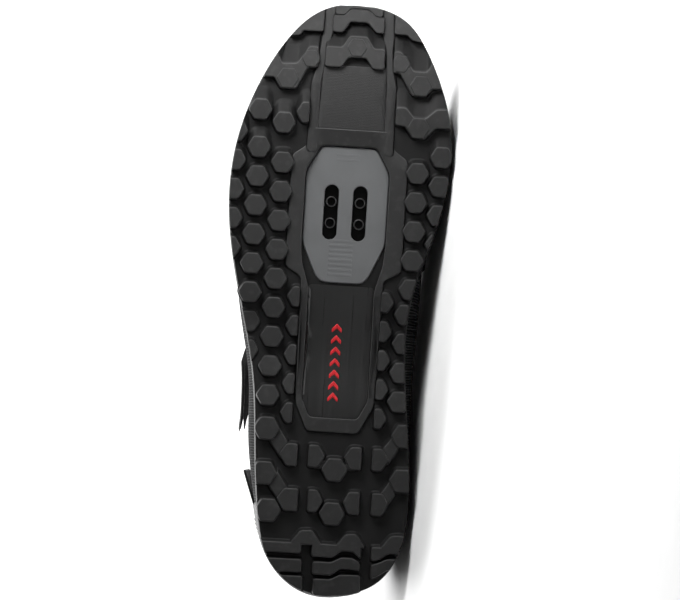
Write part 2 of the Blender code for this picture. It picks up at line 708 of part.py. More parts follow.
def make_tongue(finish):
    """A padded plate under the throat, from inside the toe box to above the collar."""
    top_gap = WALL + 3 * GAP
    sections = [6.0 + 4.1 * i / 10 for i in range(11)]

    def row(section, depth):
        half = 0.27 + 0.16 * smooth((section - 6.0) / 1.2)
        return [offset(GIRTH, section, half * (1 - i / 5), -depth) for i in range(11)]

    outer = [row(s, top_gap) for s in sections]
    inner = [row(s, top_gap + TONGUE_THICKNESS) for s in sections]
    rising = Vector((-0.5, 0, 1)).normalized()
    for grid in (outer, inner):
        first = grid[0]
        middle = sum(first, Vector()) / len(first)
        for step in (0.5, 1.0):
            narrow = 1 - TONGUE_TAPER * step
            squeezed = [Vector((p.x, middle.y + (p.y - middle.y) * narrow, p.z)) for p in first]
            grid.insert(0, [p + rising * TONGUE_EXTENSION * step for p in squeezed])
        run = (sum((a - b for a, b in zip(grid[-1], grid[-2])), Vector())).normalized()
        down = Vector((0, 0, -0.3))
        grid.append([p + (run + down) * TONGUE_TOE_REACH for p in grid[-1]])
    return add("tongue", *skins(outer, inner, closed=False), finish, 60)


def strap_layers(place):
    """Heights of the strap's two faces: thin at its medial anchor, standing off at its free lateral end."""
    anchor = smooth((place + 0.86) / 0.45)
    under = GAP + (STRAP_STANDOFF - GAP) * anchor + STRAP_END_LIFT * smooth((place - 0.3) / 0.4)
    return under, under + STRAP_THICKNESS * (0.5 + 0.5 * anchor)


def make_strap(finish):
    """Hook-and-loop strap over the instep, its free end on the lateral side."""
    length_steps, width_steps = 26, 4
    first, last = STRAP_LINE[0][0], STRAP_LINE[-1][0]
    outer, inner = [], []
    for i in range(length_steps + 1):
        place = first + (last - first) * i / length_steps
        middle = STRAP_SECTION(place)
        spread = (GIRTH(middle + 0.1, place) - GIRTH(middle - 0.1, place)).length / 0.2
        half = STRAP_WIDTH / 2 / spread
        sections = [middle + half * (2 * j / width_steps - 1) for j in range(width_steps + 1)]
        under, over = strap_layers(place)
        inner.append([offset(GIRTH, s, place, under) for s in sections])
        outer.append([offset(GIRTH, s, place, over) for s in sections])
    return add("instep_strap", *skins(outer, inner, closed=False), finish, 60)


def make_side_tab(finish):
    """Stiff lateral tab near the heel: flush at its rear, standing off at its front edge."""
    steps, rows = 6, 3
    outer, inner = [], []
    for i in range(steps + 1):
        section = 2.85 + 0.72 * i / steps
        lift = GAP + TAB_LIFT * (i / steps) ** 1.3
        rises = [0.36 + 0.2 * j / rows for j in range(rows + 1)]
        inner.append([offset(UPPER, section, r, lift) for r in rises])
        outer.append([offset(UPPER, section, r, lift + TAB_THICKNESS) for r in rises])
    return add("side_tab", *skins(outer, inner, closed=False), finish, 60)


def eyelet_spots():
    """Section number and both spots of each eyelet pair, from the toe up."""
    spots = []
    for i in range(EYELET_PAIRS):
        section = throat_section(EYELET_FIRST + (EYELET_LAST - EYELET_FIRST) * i / (EYELET_PAIRS - 1))
        spots.append((section, 24 - section))
    return spots


def throat_section(percent):
    """The lateral section number whose throat edge lies at this place along the foot."""
    low, top = 6.0, 11.0
    for _ in range(30):
        middle = (low + top) / 2
        low, top = (middle, top) if TOP_ALONG(middle) < percent else (low, middle)
    return (low + top) / 2


def make_eyelets(finish):
    sides = 12
    made = []
    for i, pair in enumerate(eyelet_spots()):
        for side, section in zip(("lateral", "medial"), pair):
            base = offset(UPPER, section, EYELET_RISE, GAP)
            normal = (offset(UPPER, section, EYELET_RISE, 1) - UPPER(section, EYELET_RISE)).normalized()
            turn = normal.to_track_quat("Z", "Y")
            rings = []
            for radius, height in (
                (EYELET_DIAMETER / 2, 0.25 * MM), (EYELET_DIAMETER / 2 - 0.5 * MM, EYELET_HEIGHT),
                (EYELET_BORE / 2, EYELET_HEIGHT), (EYELET_BORE / 2, 0.25 * MM),
            ):
                rings.append([
                    base + turn @ Vector((radius * math.cos(a), radius * math.sin(a), height))
                    for a in (2 * math.pi * k / sides for k in range(sides))
                ])
            points = [p for ring in rings for p in ring]
            faces = []
            for level in range(4):
                low, top = level * sides, (level + 1) % 4 * sides
                faces += [(low + k, low + (k + 1) % sides, top + (k + 1) % sides, top + k) for k in range(sides)]
            made.append(add(f"eyelet_{side}_{i + 1}", points, faces, finish))
    return made


def tube(points, radius, sides=6):
    """Points and faces of a round tube along a path."""
    rings = []
    for i, p in enumerate(points):
        run = (points[min(i + 1, len(points) - 1)] - points[max(i - 1, 0)]).normalized()
        side = run.cross(Vector((0.3, 0.2, 1))).normalized()
        up = side.cross(run)
        rings.append([
            p + radius * (side * math.cos(a) + up * math.sin(a)) for a in (2 * math.pi * k / sides for k in range(sides))
        ])
    spots = [p for ring in rings for p in ring]
    faces = [tuple(range(sides)), tuple(range(len(spots) - sides, len(spots)))]
    for level in range(len(rings) - 1):
        low, top = level * sides, (level + 1) * sides
        faces += [(low + k, low + (k + 1) % sides, top + (k + 1) % sides, top + k) for k in range(sides)]
    return spots, faces


def lace_height():
    return GAP + EYELET_HEIGHT + LACE_CLEARANCE + LACE_DIAMETER / 2


def lace_run(start, end, lift):
    """Path over the throat from a lateral eyelet to a medial one, arched a little over the tongue."""
    steps = 5
    lateral = offset(UPPER, start, EYELET_RISE, lace_height())
    medial = offset(UPPER, 24 - end, EYELET_RISE, lace_height())
    middle = offset(GIRTH, (start + end) / 2, 0.0, lace_height() + lift)
    crown = middle - (lateral + medial) / 2
    return [lateral.lerp(medial, i / steps) + crown * (1 - (2 * i / steps - 1) ** 2) for i in range(steps + 1)]


def make_laces(finish):
    """Crossed lace bars as one joined solid, ending at the top eyelets."""
    rows = [pair[0] for pair in eyelet_spots()]
    runs = [lace_run(rows[0], rows[0], 0.0)]
    for low, top in zip(rows, rows[1:]):
        runs += [lace_run(low, top, 0.0), lace_run(top, low, 0.0)]
    body = add("laces", *tube(runs[0], LACE_DIAMETER / 2), finish, 60)
    for i, run in enumerate(runs[1:]):
        cut(body, helper(f"cutter_lace_{i}", *tube(run, LACE_DIAMETER / 2)), "UNION")
    return body


def lie_on_medial_side(pieces):
    """Rolls the standing shoe onto the facet of its hull under its centre, and sets it on the floor."""
    graph = bpy.context.evaluated_depsgraph_get()
    hull = bmesh.new()
    weight, centre = 0.0, Vector()
    for piece in pieces:
        mesh = piece.evaluated_get(graph).to_mesh()
        share = sum(face.area for face in mesh.polygons)
        centre += sum((face.center * face.area for face in mesh.polygons), Vector())
        weight += share
        for vertex in mesh.vertices:
            hull.verts.new(vertex.co)
    centre /= weight
    result = bmesh.ops.convex_hull(hull, input=hull.verts)
    faces = [g for g in result["geom"] if isinstance(g, bmesh.types.BMFace)]
    ray = Vector((0, 1, 0))
    down = ray
    for face in faces:
        face.normal_update()
        if face.normal.dot(ray) <= 0.5:
            continue
        reach = (face.verts[0].co - centre).dot(face.normal) / face.normal.dot(ray)
        hit = centre + ray * reach
        if bmesh.geometry.intersect_face_point(face, hit):
            down = face.normal.copy()
    lowest = max(vertex.co.dot(down) for vertex in hull.verts)
    toe = (Vector((1, 0, 0)) - down * down.x).normalized()
    up = -down
    left = up.cross(toe)
    turn = Matrix((toe, left, up))
    spots = [turn @ v.co for v in hull.verts]
    hull.free()
    box_middle = [(min(p[k] for p in spots) + max(p[k] for p in spots)) / 2 for k in (0, 1)]
    rest = bpy.data.objects.new("resting_shoe", None)
    bpy.context.scene.collection.objects.link(rest)
    rest.matrix_world = Matrix.Translation((-box_middle[0], -box_middle[1], lowest)) @ turn.to_4x4()
    bpy.context.view_layer.update()
    for piece in list(bpy.context.scene.objects):
        if piece is not rest:
            piece.parent = rest
    return rest


def main():
    for item in list(bpy.data.objects):
        bpy.data.objects.remove(item, do_unlink=True)
    rubber = material("tread_rubber", (0.035, 0.035, 0.038), 0.6)
    foam = material("midsole_foam", (0.03, 0.03, 0.032), 0.7)
    nylon = material("plate_nylon", (0.12, 0.12, 0.13), 0.5)
    gloss = material("window_gloss", (0.01, 0.01, 0.01), 0.2)
    steel = material("nut_steel", (0.05, 0.05, 0.05), 0.35, 1.0)
    knit = material("upper_knit", (0.20, 0.20, 0.21), 0.9)
    film = material("overlay_film", (0.03, 0.03, 0.03), 0.5)
    lining = material("lining_cloth", (0.04, 0.04, 0.04), 0.95)
    webbing = material("strap_webbing", (0.02, 0.02, 0.02), 0.7)
    pieces = [
        make_outsole(rubber), make_midsole(foam), make_cleat_plate(nylon), make_nut_plate(steel),
        make_window_panel(gloss), make_insole(lining), make_upper(knit), make_tongue(lining),
        overlay("toe_cap", 9.0, 15.0, lambda t: 0.16 + 0.26 * smooth(math.sin(math.pi * t) * 1.4), film),
        overlay("heel_counter", 21.0, 27.0, lambda t: 0.22 + 0.3 * smooth(math.sin(math.pi * t) * 1.3), film),
        make_strap(webbing), make_side_tab(film), *make_eyelets(steel), make_laces(webbing),
    ]
    lie_on_medial_side(pieces)


main()
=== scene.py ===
# %% [markdown]
# # A right off-road cycling shoe that shows its tread
# The packed model comes in first, as a frame that holds every place and size. Each visible piece is then
# built over it, finer and with its own finish, and stands for the piece of the frame that it covers.

import json
import math

import bmesh
import bpy
import numpy as np
from mathutils import Matrix, Vector
from mathutils.geometry import delaunay_2d_cdt

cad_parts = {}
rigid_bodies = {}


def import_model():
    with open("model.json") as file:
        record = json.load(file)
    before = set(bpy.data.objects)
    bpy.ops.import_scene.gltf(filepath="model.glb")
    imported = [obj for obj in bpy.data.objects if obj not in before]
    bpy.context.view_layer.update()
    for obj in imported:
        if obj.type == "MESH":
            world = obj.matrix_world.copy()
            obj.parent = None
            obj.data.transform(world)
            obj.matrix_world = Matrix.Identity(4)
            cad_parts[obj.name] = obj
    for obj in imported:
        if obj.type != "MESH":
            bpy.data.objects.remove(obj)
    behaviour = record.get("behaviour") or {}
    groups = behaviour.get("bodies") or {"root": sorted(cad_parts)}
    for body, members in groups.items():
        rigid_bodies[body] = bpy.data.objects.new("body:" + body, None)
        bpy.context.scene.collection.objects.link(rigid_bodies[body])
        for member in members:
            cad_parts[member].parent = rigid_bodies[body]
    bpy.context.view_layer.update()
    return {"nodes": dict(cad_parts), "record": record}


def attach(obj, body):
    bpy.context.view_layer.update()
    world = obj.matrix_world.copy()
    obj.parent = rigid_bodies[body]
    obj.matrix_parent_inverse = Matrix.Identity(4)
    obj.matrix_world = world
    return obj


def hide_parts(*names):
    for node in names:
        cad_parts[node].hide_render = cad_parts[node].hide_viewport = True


for item in list(bpy.data.objects):
    bpy.data.objects.remove(item, do_unlink=True)
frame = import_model()
print("frame:", len(frame["nodes"]), "pieces")

# %% [markdown]
# ## Sizes and the shape of the foot
# The shoe is drawn standing: heel at x = 0, toe along +X, medial side along +Y, ground at z = 0. A few
# curves over 24 sections, numbered from the heel round the lateral side, the toe and the medial side,
# give its outline and the swell of its upper. They are the model's own curves, so everything that is
# drawn from them lies on it. Numpy works out whole grids of points at once.

# %% Sizes
MM = 0.001
LENGTH = 290 * MM
BALL_WIDTH = 110 * MM
INSTEP_HEIGHT = 100 * MM
GAP = 0.3 * MM
WALL = 2.0 * MM
LUG_HEIGHT = 4.0 * MM
TREAD_THICKNESS = 3.5 * MM
TOE_SPRING = 14 * MM
HEEL_BEVEL = 3.0 * MM
ARCH_RISE = 3.0 * MM
SIDEWALL_BULGE = 0.6 * MM
FEATHER_INSET = 3.5 * MM
LUG_SIZE = 11.5 * MM
HEEL_LUG_SIZE = 12.8 * MM
LUG_PITCH = 14.15 * MM
FRAME_HEIGHT = 1.6 * MM
CLEAT_ALONG = 187.4 * MM
CLEAT_ACROSS = 4.5 * MM
SLOT_SPACING = 14.0 * MM
SLOT_LENGTH = 26.8 * MM
SLOT_WIDTH = 6.8 * MM
PLATE_DEPTH = 1.0 * MM
BOSS_SPACING = 10.4 * MM
WINDOW_DEPTH = 2.0 * MM
THROAT_SHARE = 0.32
BRIDGE_SWEEP = 0.15
print("shoe:", round(LENGTH / MM), "mm long,", round(BALL_WIDTH / MM), "mm wide at the ball")

# %% Foot sections, in percent of the overall sizes
SECTION_COLUMNS = (
    "lateral medial bulge_lateral bulge_medial top_along top_lateral top_medial top_high fullness turn"
).split()
SECTIONS = np.array([
    (1.8, -1.8, 2.0, 2.0, 4.0, 1.8, -1.8, 91, 2.0, 40),
    (18.1, 16.7, 1.6, 0.4, 5.0, 13.5, 12.0, 88, 2.0, 40),
    (30.3, 28.1, 0.4, -2.2, 9.2, 25.0, 22.5, 81, 2.0, 38),
    (35.4, 32.5, 1.4, -2.6, 15.6, 29.0, 26.5, 75, 2.0, 36),
    (38.0, 31.0, 3.6, 0.6, 24.0, 28.5, 25.0, 79, 2.0, 38),
    (41.1, 27.5, 2.9, 4.0, 33.4, 23.5, 19.0, 91, 2.1, 50),
    (49.1, 27.8, 1.4, 4.6, 42.0, 17.5, 12.0, 100, 2.2, 62),
    (55.6, 37.1, -2.4, -2.4, 51.4, 16.0, 10.0, 89, 2.3, 68),
    (54.5, 42.0, -2.2, -2.2, 60.4, 15.0, 8.6, 77, 2.4, 72),
    (46.2, 36.9, -1.2, -1.2, 67.4, 14.0, 7.0, 67, 2.5, 74),
    (34.8, 27.5, -0.6, -0.6, 71.0, 10.5, 3.6, 62, 2.5, 74),
    (21.8, 15.5, -0.4, -0.4, 72.6, 7.0, -0.2, 60.2, 2.5, 74),
    (4.5, -4.5, -0.2, -0.2, 73.1, 3.4, -3.4, 59.5, 2.5, 74),
])
FEATHER_LINE = [(0, 29.5), (20, 27.5), (45, 22.5), (65, 19.0), (80, 20.0), (90, 24.0), (100, 30.0)]


def along(percent):
    return np.asarray(percent) / 100 * LENGTH


def across(percent):
    return -np.asarray(percent) / 100 * BALL_WIDTH


def high(percent):
    return np.asarray(percent) / 100 * INSTEP_HEIGHT


print(len(SECTIONS), "sections from heel to toe on each side")

# %% Smooth curves
def spline(places, values, period=None):
    """A smooth curve through the given values, closed where a period is given."""
    x = np.array(places, float)
    y = np.array(values, float)
    if period:
        x = np.append(x, x[0] + period)
        y = np.append(y, y[0])
    count = len(x)
    step = np.diff(x)
    matrix = np.eye(count)
    rhs = np.zeros(count)
    for i in range(1, count - 1):
        matrix[i, i - 1:i + 2] = step[i - 1], 2 * (step[i - 1] + step[i]), step[i]
        rhs[i] = 6 * ((y[i + 1] - y[i]) / step[i] - (y[i] - y[i - 1]) / step[i - 1])
    if period:
        matrix[0, :2] = 2 * (step[0] + step[-1]), step[0]
        matrix[0, -2] = step[-1]
        rhs[0] = 6 * ((y[1] - y[0]) / step[0] - (y[-1] - y[-2]) / step[-1])
        matrix[-1, 0] = -1
    bend = np.linalg.solve(matrix, rhs)

    def at(place):
        place = np.asarray(place, float)
        if period:
            place = x[0] + np.mod(place - x[0], period)
        i = np.clip(np.searchsorted(x, place) - 1, 0, count - 2)
        h, a, b = step[i], x[i + 1] - place, place - x[i]
        return (
            (bend[i] * a**3 + bend[i + 1] * b**3) / (6 * h)
            + (y[i] / h - bend[i] * h / 6) * a
            + (y[i + 1] / h - bend[i + 1] * h / 6) * b
        )

    return at


print("a curve through 0, 1 and 0 is", round(float(spline([0, 1, 2], [0, 1, 0])(0.5)), 3), "on the way up")


# %% Curves of the foot
def around(lateral, medial=None, mirror=1):
    one_side = SECTIONS[:, SECTION_COLUMNS.index(lateral)]
    other = mirror * SECTIONS[:, SECTION_COLUMNS.index(medial or lateral)]
    return spline(range(24), [*one_side, *other[-2:0:-1]], period=24)


OUTLINE = around("lateral", "medial", -1)
BULGE = around("bulge_lateral", "bulge_medial")
TOP_ALONG = around("top_along")
TOP_ACROSS = around("top_lateral", "top_medial", -1)
TOP_HIGH = around("top_high")
FULLNESS = around("fullness")
TURN = around("turn")
FEATHER = spline(*zip(*FEATHER_LINE))


def smooth(value):
    value = np.clip(value, 0.0, 1.0)
    return value * value * (3 - 2 * value)


print("the upper turns", round(float(TURN(6))), "degrees from feather edge to collar at midfoot")

# %% Heights of the sole
def tread_line(x):
    """Height of the lug tips over the ground: flat at heel and ball, with arch and toe spring."""
    share = np.clip(np.asarray(x) / LENGTH, 0, 1)
    toe = TOE_SPRING * np.maximum(0, (share - 0.80) / 0.20) ** 1.8
    heel = HEEL_BEVEL * np.maximum(0, 1 - share / 0.075) ** 1.6
    arch = ARCH_RISE * np.sin(np.pi * np.clip((share - 0.30) / 0.24, 0, 1)) ** 2
    return toe + heel + arch


def tread_base(x):
    return tread_line(x) + LUG_HEIGHT


def tread_top(x):
    return tread_base(x) + TREAD_THICKNESS


def feather_height(x):
    return high(FEATHER(100 * np.asarray(x) / LENGTH))


print("feather edge at half length:", round(float(feather_height(LENGTH / 2)) / MM, 1), "mm high")

# %% Outline of the sole
def unit(vectors):
    return vectors / np.linalg.norm(vectors, axis=-1, keepdims=True)


def section_x(section):
    return LENGTH / 2 * (1 - np.cos(section / 24 * 2 * np.pi))


def section_at(x):
    return float(np.arccos(1 - 2 * np.clip(x / LENGTH, 0, 1)) / (2 * np.pi) * 24)


def outline(section, inset=0.0):
    """Points of the sole's outline, and the way out of it, in plan."""
    section = np.asarray(section, float)

    def spot(s):
        return np.stack([section_x(s), across(OUTLINE(s))], -1)

    run = unit(spot(section + 0.02) - spot(section - 0.02))
    out = np.stack([run[..., 1], -run[..., 0]], -1)
    return spot(section) - out * np.asarray(inset, float)[..., None], out


print("sole outline", round(float(outline(6)[0][1]) * -1000, 1), "mm to the lateral side at midfoot")


# %% Outer face of the upper
def upper_point(section, rise):
    """Outer face of the upper: rise is 0 at the feather edge and 1 at the collar or throat."""
    section, rise = np.broadcast_arrays(np.asarray(section, float), np.asarray(rise, float))
    foot, out = outline(section, FEATHER_INSET)
    top = np.stack([along(TOP_ALONG(section)), across(TOP_ACROSS(section))], -1)
    end = np.radians(TURN(section))
    angle = np.maximum(rise, 0) * end
    power = 2 / FULLNESS(section)
    lean = (1 - np.cos(angle) ** power) / (1 - np.cos(end) ** power)
    lift = (np.sin(angle) / np.sin(end)) ** power
    swell = FEATHER_INSET + BULGE(section) / 100 * BALL_WIDTH
    plan = foot + (top - foot) * lean[..., None] + out * (swell * np.sin(np.pi * lift**0.6))[..., None]
    bottom = feather_height(foot[..., 0]) + GAP
    return np.concatenate([plan, (bottom + (high(TOP_HIGH(section)) - bottom) * lift)[..., None]], -1)


def girth_point(section, place):
    """Round the foot over the instep: place is 1 at the lateral feather edge, -1 at the medial one."""
    section, place = np.broadcast_arrays(np.asarray(section, float), np.asarray(place, float))
    side = np.where(place > 0, section, 24 - section)
    edge_gap = np.abs(place) - THROAT_SHARE
    wall = upper_point(side, 1 - np.maximum(edge_gap, 0) / (1 - THROAT_SHARE))
    lateral, medial = upper_point(section, 1.0), upper_point(24 - section, 1.0)
    reach = np.linalg.norm(lateral - medial, axis=-1, keepdims=True)
    sweep = np.array([BRIDGE_SWEEP, 1, 1])
    lateral_run = unit((lateral - upper_point(section, 0.98)) * sweep) * reach
    medial_run = unit((upper_point(24 - section, 0.98) - medial) * sweep) * reach
    t = ((THROAT_SHARE - place) / (2 * THROAT_SHARE))[..., None]
    bridge = (
        lateral * (2 * t**3 - 3 * t**2 + 1)
        + lateral_run * (t**3 - 2 * t**2 + t)
        + medial * (3 * t**2 - 2 * t**3)
        + medial_run * (t**3 - t**2)
    )
    return np.where((edge_gap >= 0)[..., None], wall, bridge)


def stand_off(point, a, b, distance, facing=1, lowest=0.02, highest=1.0):
    """Points of a surface moved along its normal."""
    a, b = np.broadcast_arrays(np.asarray(a, float), np.asarray(b, float))
    run_a = point(a + 0.01, b) - point(a - 0.01, b)
    run_b = point(a, np.minimum(b + 0.01, highest)) - point(a, np.maximum(b - 0.01, lowest))
    normal = unit(np.cross(run_a, run_b))
    return point(a, b) + normal * (np.asarray(distance, float) * facing)[..., None]


def over_upper(section, rise, distance):
    return stand_off(upper_point, section, rise, distance)


def over_girth(section, place, distance):
    return stand_off(girth_point, section, place, distance, -1, -1.0, 1.0)


print("edge of the collar at the heel:", [round(float(v) / MM) for v in upper_point(0.0, 1.0)], "mm")

# %% [markdown]
# ## From standing to lying
# The model lies on its medial side. Two of its mounts, the plate's face and the middle lug of the heel,
# are known in the standing drawing too, and two points with one direction fix a solid in space. The
# matrix that comes out carries each finished mesh to its place in the frame.

# %% The resting matrix
mounts = {mount["name"]: mount for mount in frame["record"]["mounts"]}
plate_face = float(tread_base(CLEAT_ALONG)) + PLATE_DEPTH
drawn = [Vector((CLEAT_ALONG, -CLEAT_ACROSS, plate_face)), Vector((along(21.5), across(1.7), 0))]
lying = [Vector(mounts[name]["pos_m"]) for name in ("cleat_face", "heel_tread")]
upwards = -Vector(mounts["cleat_face"]["axis"]).normalized()


def basis(ahead, up):
    forward = (ahead - up * ahead.dot(up)).normalized()
    return Matrix((forward, up.cross(forward), up)).transposed()


turn = basis(lying[0] - lying[1], upwards) @ basis(drawn[0] - drawn[1], Vector((0, 0, 1))).transposed()
REST = Matrix.Translation(lying[0] - turn @ drawn[0]) @ turn.to_4x4()
print("sole faces", [round(v, 3) for v in -REST.col[2].xyz])

# %% [markdown]
# ## Camera, floor and light
# The photograph looks straight at the sole, toe up and leaning a little to the right, from far enough
# away that the tread hardly narrows. The shoe lies on a pale floor that fills the picture. A soft light
# beyond the toe brightens the toe side of each lug and leaves its heel side dark, and a wide one hangs
# over the floor behind the shoe.

# %% Camera
VIEW_DISTANCE = 2.0
VIEW_WIDTH = 0.3309
LEAN = math.radians(3.6)
camera = bpy.data.objects.new("camera", bpy.data.cameras.new("camera"))
camera.data.sensor_width = 36
camera.data.lens = 36 * VIEW_DISTANCE / VIEW_WIDTH
camera.data.clip_end = 50
right = Vector((math.sin(LEAN), math.cos(LEAN), 0))
upright = Vector((math.cos(LEAN), -math.sin(LEAN), 0))
axes = Matrix((right, upright, Vector((0, 0, -1)))).transposed().to_4x4()
spot = Vector((0.1450, -0.00425, 0.003 - VIEW_DISTANCE))
camera.matrix_world = REST @ Matrix.Translation(spot) @ axes
bpy.context.scene.collection.objects.link(camera)
bpy.context.scene.camera = camera
bpy.context.scene.view_settings.view_transform = "Standard"
print("camera lens:", round(camera.data.lens, 1), "mm")


# %% Lights and floor
WORLD_LIGHT = 0.13
FLOOR_REACH = 30


def area_light(name, place, size, power, aim=Vector((0, 0, 0.05))):
    """A square lamp, its place and size in metres and its power in watts."""
    lamp = bpy.data.lights.new(name, "AREA")
    lamp.size = size
    lamp.energy = power
    made = bpy.data.objects.new(name, lamp)
    made.location = place
    made.rotation_mode = "QUATERNION"
    made.rotation_quaternion = (aim - Vector(place)).to_track_quat("-Z", "Y")
    bpy.context.scene.collection.objects.link(made)


area_light("light_toe", (0.42, -0.3, 0.3), 0.25, 6)
area_light("light_front", (0.7, -1.6, 1.9), 1.6, 4)
area_light("light_back", (-0.6, 1.6, 1.5), 1.4, 45)
area_light("light_floor", (0, 3.0, 2.2), 3.0, 190, Vector((0, 3.0, 0)))
world = bpy.data.worlds.new("studio")
world.use_nodes = True
world.node_tree.nodes["Background"].inputs["Color"].default_value = (1, 1, 1, 1)
world.node_tree.nodes["Background"].inputs["Strength"].default_value = WORLD_LIGHT
bpy.context.scene.world = world

floor_mesh = bpy.data.meshes.new("floor")
floor_corners = [(x * FLOOR_REACH, y * FLOOR_REACH, 0) for x, y in ((-1, -1), (1, -1), (1, 1), (-1, 1))]
floor_mesh.from_pydata(floor_corners, [], [(0, 1, 2, 3)])
floor = bpy.data.objects.new("floor", floor_mesh)
bpy.context.scene.collection.objects.link(floor)
print("lights:", ", ".join(lamp.name for lamp in bpy.data.lights))

# %% [markdown]
# ## Finishes
# A shader is easier to read as sums than as a drawing of nodes. One small class wraps a socket, so that
# `1 - mask` adds a Math node, and one method adds any other node. Only colour, roughness and bump
# change over a surface; everything else is a plain number on the shader.


# %% A little shader language
class Value:
    """A socket on which + - and * add Math nodes."""

    def __init__(self, tree, socket):
        self.tree = tree
        self.socket = socket

    def maths(self, operation, first, second):
        made = self.tree.nodes.new("ShaderNodeMath")
        made.operation = operation
        for slot, item in zip(made.inputs, (first, second)):
            if isinstance(item, Value):
                self.tree.links.new(item.socket, slot)
            else:
                slot.default_value = item
        return Value(self.tree, made.outputs[0])

    def __add__(self, other):
        return self.maths("ADD", self, other)

    def __sub__(self, other):
        return self.maths("SUBTRACT", self, other)

    def __rsub__(self, other):
        return self.maths("SUBTRACT", other, self)

    def __mul__(self, other):
        return self.maths("MULTIPLY", self, other)

    __radd__ = __add__
    __rmul__ = __mul__


print("a value has:", ", ".join(name for name in vars(Value) if not name.startswith("_")), "and + - *")


# %% A finish with its nodes
class Finish:
    """A material with its nodes."""

    def __init__(self, name, roughness, **fixed):
        self.material = bpy.data.materials.new(name)
        self.material.use_nodes = True
        self.tree = self.material.node_tree
        self.shader = self.tree.nodes["Principled BSDF"]
        self.shader.inputs["Roughness"].default_value = roughness
        for label, value in fixed.items():
            self.shader.inputs[label.replace("_", " ")].default_value = value

    def node(self, kind, settings=None, inputs=None, output=0):
        made = self.tree.nodes.new(kind)
        for label, value in (settings or {}).items():
            setattr(made, label, value)
        for label, value in (inputs or {}).items():
            if isinstance(value, Value):
                self.tree.links.new(value.socket, made.inputs[label])
            else:
                made.inputs[label].default_value = value
        return Value(self.tree, made.outputs[output])

    def attribute(self, name, output):
        return self.node("ShaderNodeAttribute", {"attribute_name": name}, output=output)

    def noise(self, scale, detail=3.0, place=None):
        place = place or self.attribute("shoe", "Vector")
        return self.node("ShaderNodeTexNoise", {}, {"Vector": place, "Scale": scale, "Detail": detail})

    def clip(self, value, low, high):
        """0 below low and 1 above high, with a soft step between."""
        inputs = {"Value": value, "From Min": low, "From Max": high, "To Min": 0.0, "To Max": 1.0}
        return self.node("ShaderNodeMapRange", {"interpolation_type": "SMOOTHSTEP"}, inputs)

    def blend(self, share, first, second):
        """A colour between two colours or sockets."""
        inputs = {0: share, 6: first, 7: second}
        return self.node("ShaderNodeMix", {"data_type": "RGBA"}, inputs, output=2)

    def feed(self, label, value):
        self.tree.links.new(value.socket, self.shader.inputs[label])

    def bump(self, height, depth, strength=1.0):
        inputs = {"Height": height, "Distance": depth, "Strength": strength}
        self.feed("Normal", self.node("ShaderNodeBump", {}, inputs))


def paint(level, tint=0.0):
    """A grey, bluer by the tint."""
    return (level * (1 - tint), level, level * (1 + tint), 1)


def tell(*finishes):
    for finish in finishes:
        print(f"{finish.material.name}: {len(finish.tree.nodes)} nodes")


print("a finish has:", ", ".join(name for name in vars(Finish) if not name.startswith("_")))

# %% Floor paper
paper = Finish("floor_paper", 0.9, Specular_IOR_Level=0.1)
across_floor = paper.node("ShaderNodeTexCoord", output=3)
fibres = paper.node("ShaderNodeTexNoise", {}, {"Vector": across_floor, "Scale": 60.0})
paper.feed("Base Color", paper.blend(fibres, paint(0.8), paint(0.86)))
floor_mesh.materials.append(paper.material)
tell(paper)

# %% [markdown]
# Black rubber is never one black: mould grain breaks up its shine, the lug tips are scuffed a little paler
# and smoother, and the roots are painted darker as shade. A paler band along each lug's rounded edge is a
# painted highlight with some edge wear. Each point of the tread carries a number, 1 at a tip and 0 at the
# root, which the finish reads. The flat panel before the toe has a moulded cross grain.

# %% Tread rubber
rubber = Finish("tread_rubber", 0.55, Specular_IOR_Level=0.14)
tip = rubber.attribute("tip", "Fac")
panel = rubber.attribute("panel", "Fac")
place = rubber.attribute("shoe", "Vector")
grain = rubber.noise(2600, 4.0)
mottle = rubber.noise(60, 5.0)
scuffs = rubber.clip(rubber.noise(260, 6.0), 0.52, 0.68)
# Tips are paler from wear, and the roots are painted darker as shade between the lugs.
tip_wear_and_root_shade = rubber.clip(tip, 0.75, 1.0)
tone = rubber.blend(tip_wear_and_root_shade, paint(0.0045), paint(0.013))
tone = rubber.blend(mottle * tip_wear_and_root_shade * 0.5, tone, paint(0.02))
tone = rubber.blend(scuffs * tip_wear_and_root_shade * (0.22 - panel * 0.2), tone, paint(0.035))
# A paler band along each lug's rounded edge: painted highlight, with some edge wear.
edge_highlight_and_wear = rubber.clip(tip, 0.8, 0.95) * (1 - rubber.clip(tip, 0.96, 1.0))
rubber.feed("Base Color", rubber.blend(edge_highlight_and_wear * 0.8, tone, paint(0.05)))
rubber.feed("Roughness", 0.52 + mottle * 0.2 - tip_wear_and_root_shade * 0.05 + panel * 0.05)
steps = rubber.node("ShaderNodeTexWave", {"wave_type": "BANDS", "bands_direction": "X"},
                    {"Vector": place, "Scale": 420.0, "Distortion": 6.0, "Detail": 2.0, "Detail Scale": 3.0})
rubber.bump(grain * (0.35 - panel * 0.1) + steps * panel * 0.7, 0.00012, 0.7)
tell(rubber)

# %% [markdown]
# The cleat plate is glass-filled nylon, mid grey and evenly matt, with a faint flow of its fibres. The
# sunk window is polished black plastic that reflects the light in soft streaks, the mark in it is
# red print, and the nut plate behind the slots is blackened steel.

# %% Plate, window, mark and steel
nylon = Finish("plate_nylon", 0.5)
flow = nylon.noise(90, 4.0)
pores = nylon.noise(3200, 2.0)
nylon.feed("Base Color", nylon.blend(flow, paint(0.05, 0.03), paint(0.066, 0.03)))
nylon.feed("Roughness", 0.42 + flow * 0.16)
nylon.bump(pores, 0.00008, 0.5)

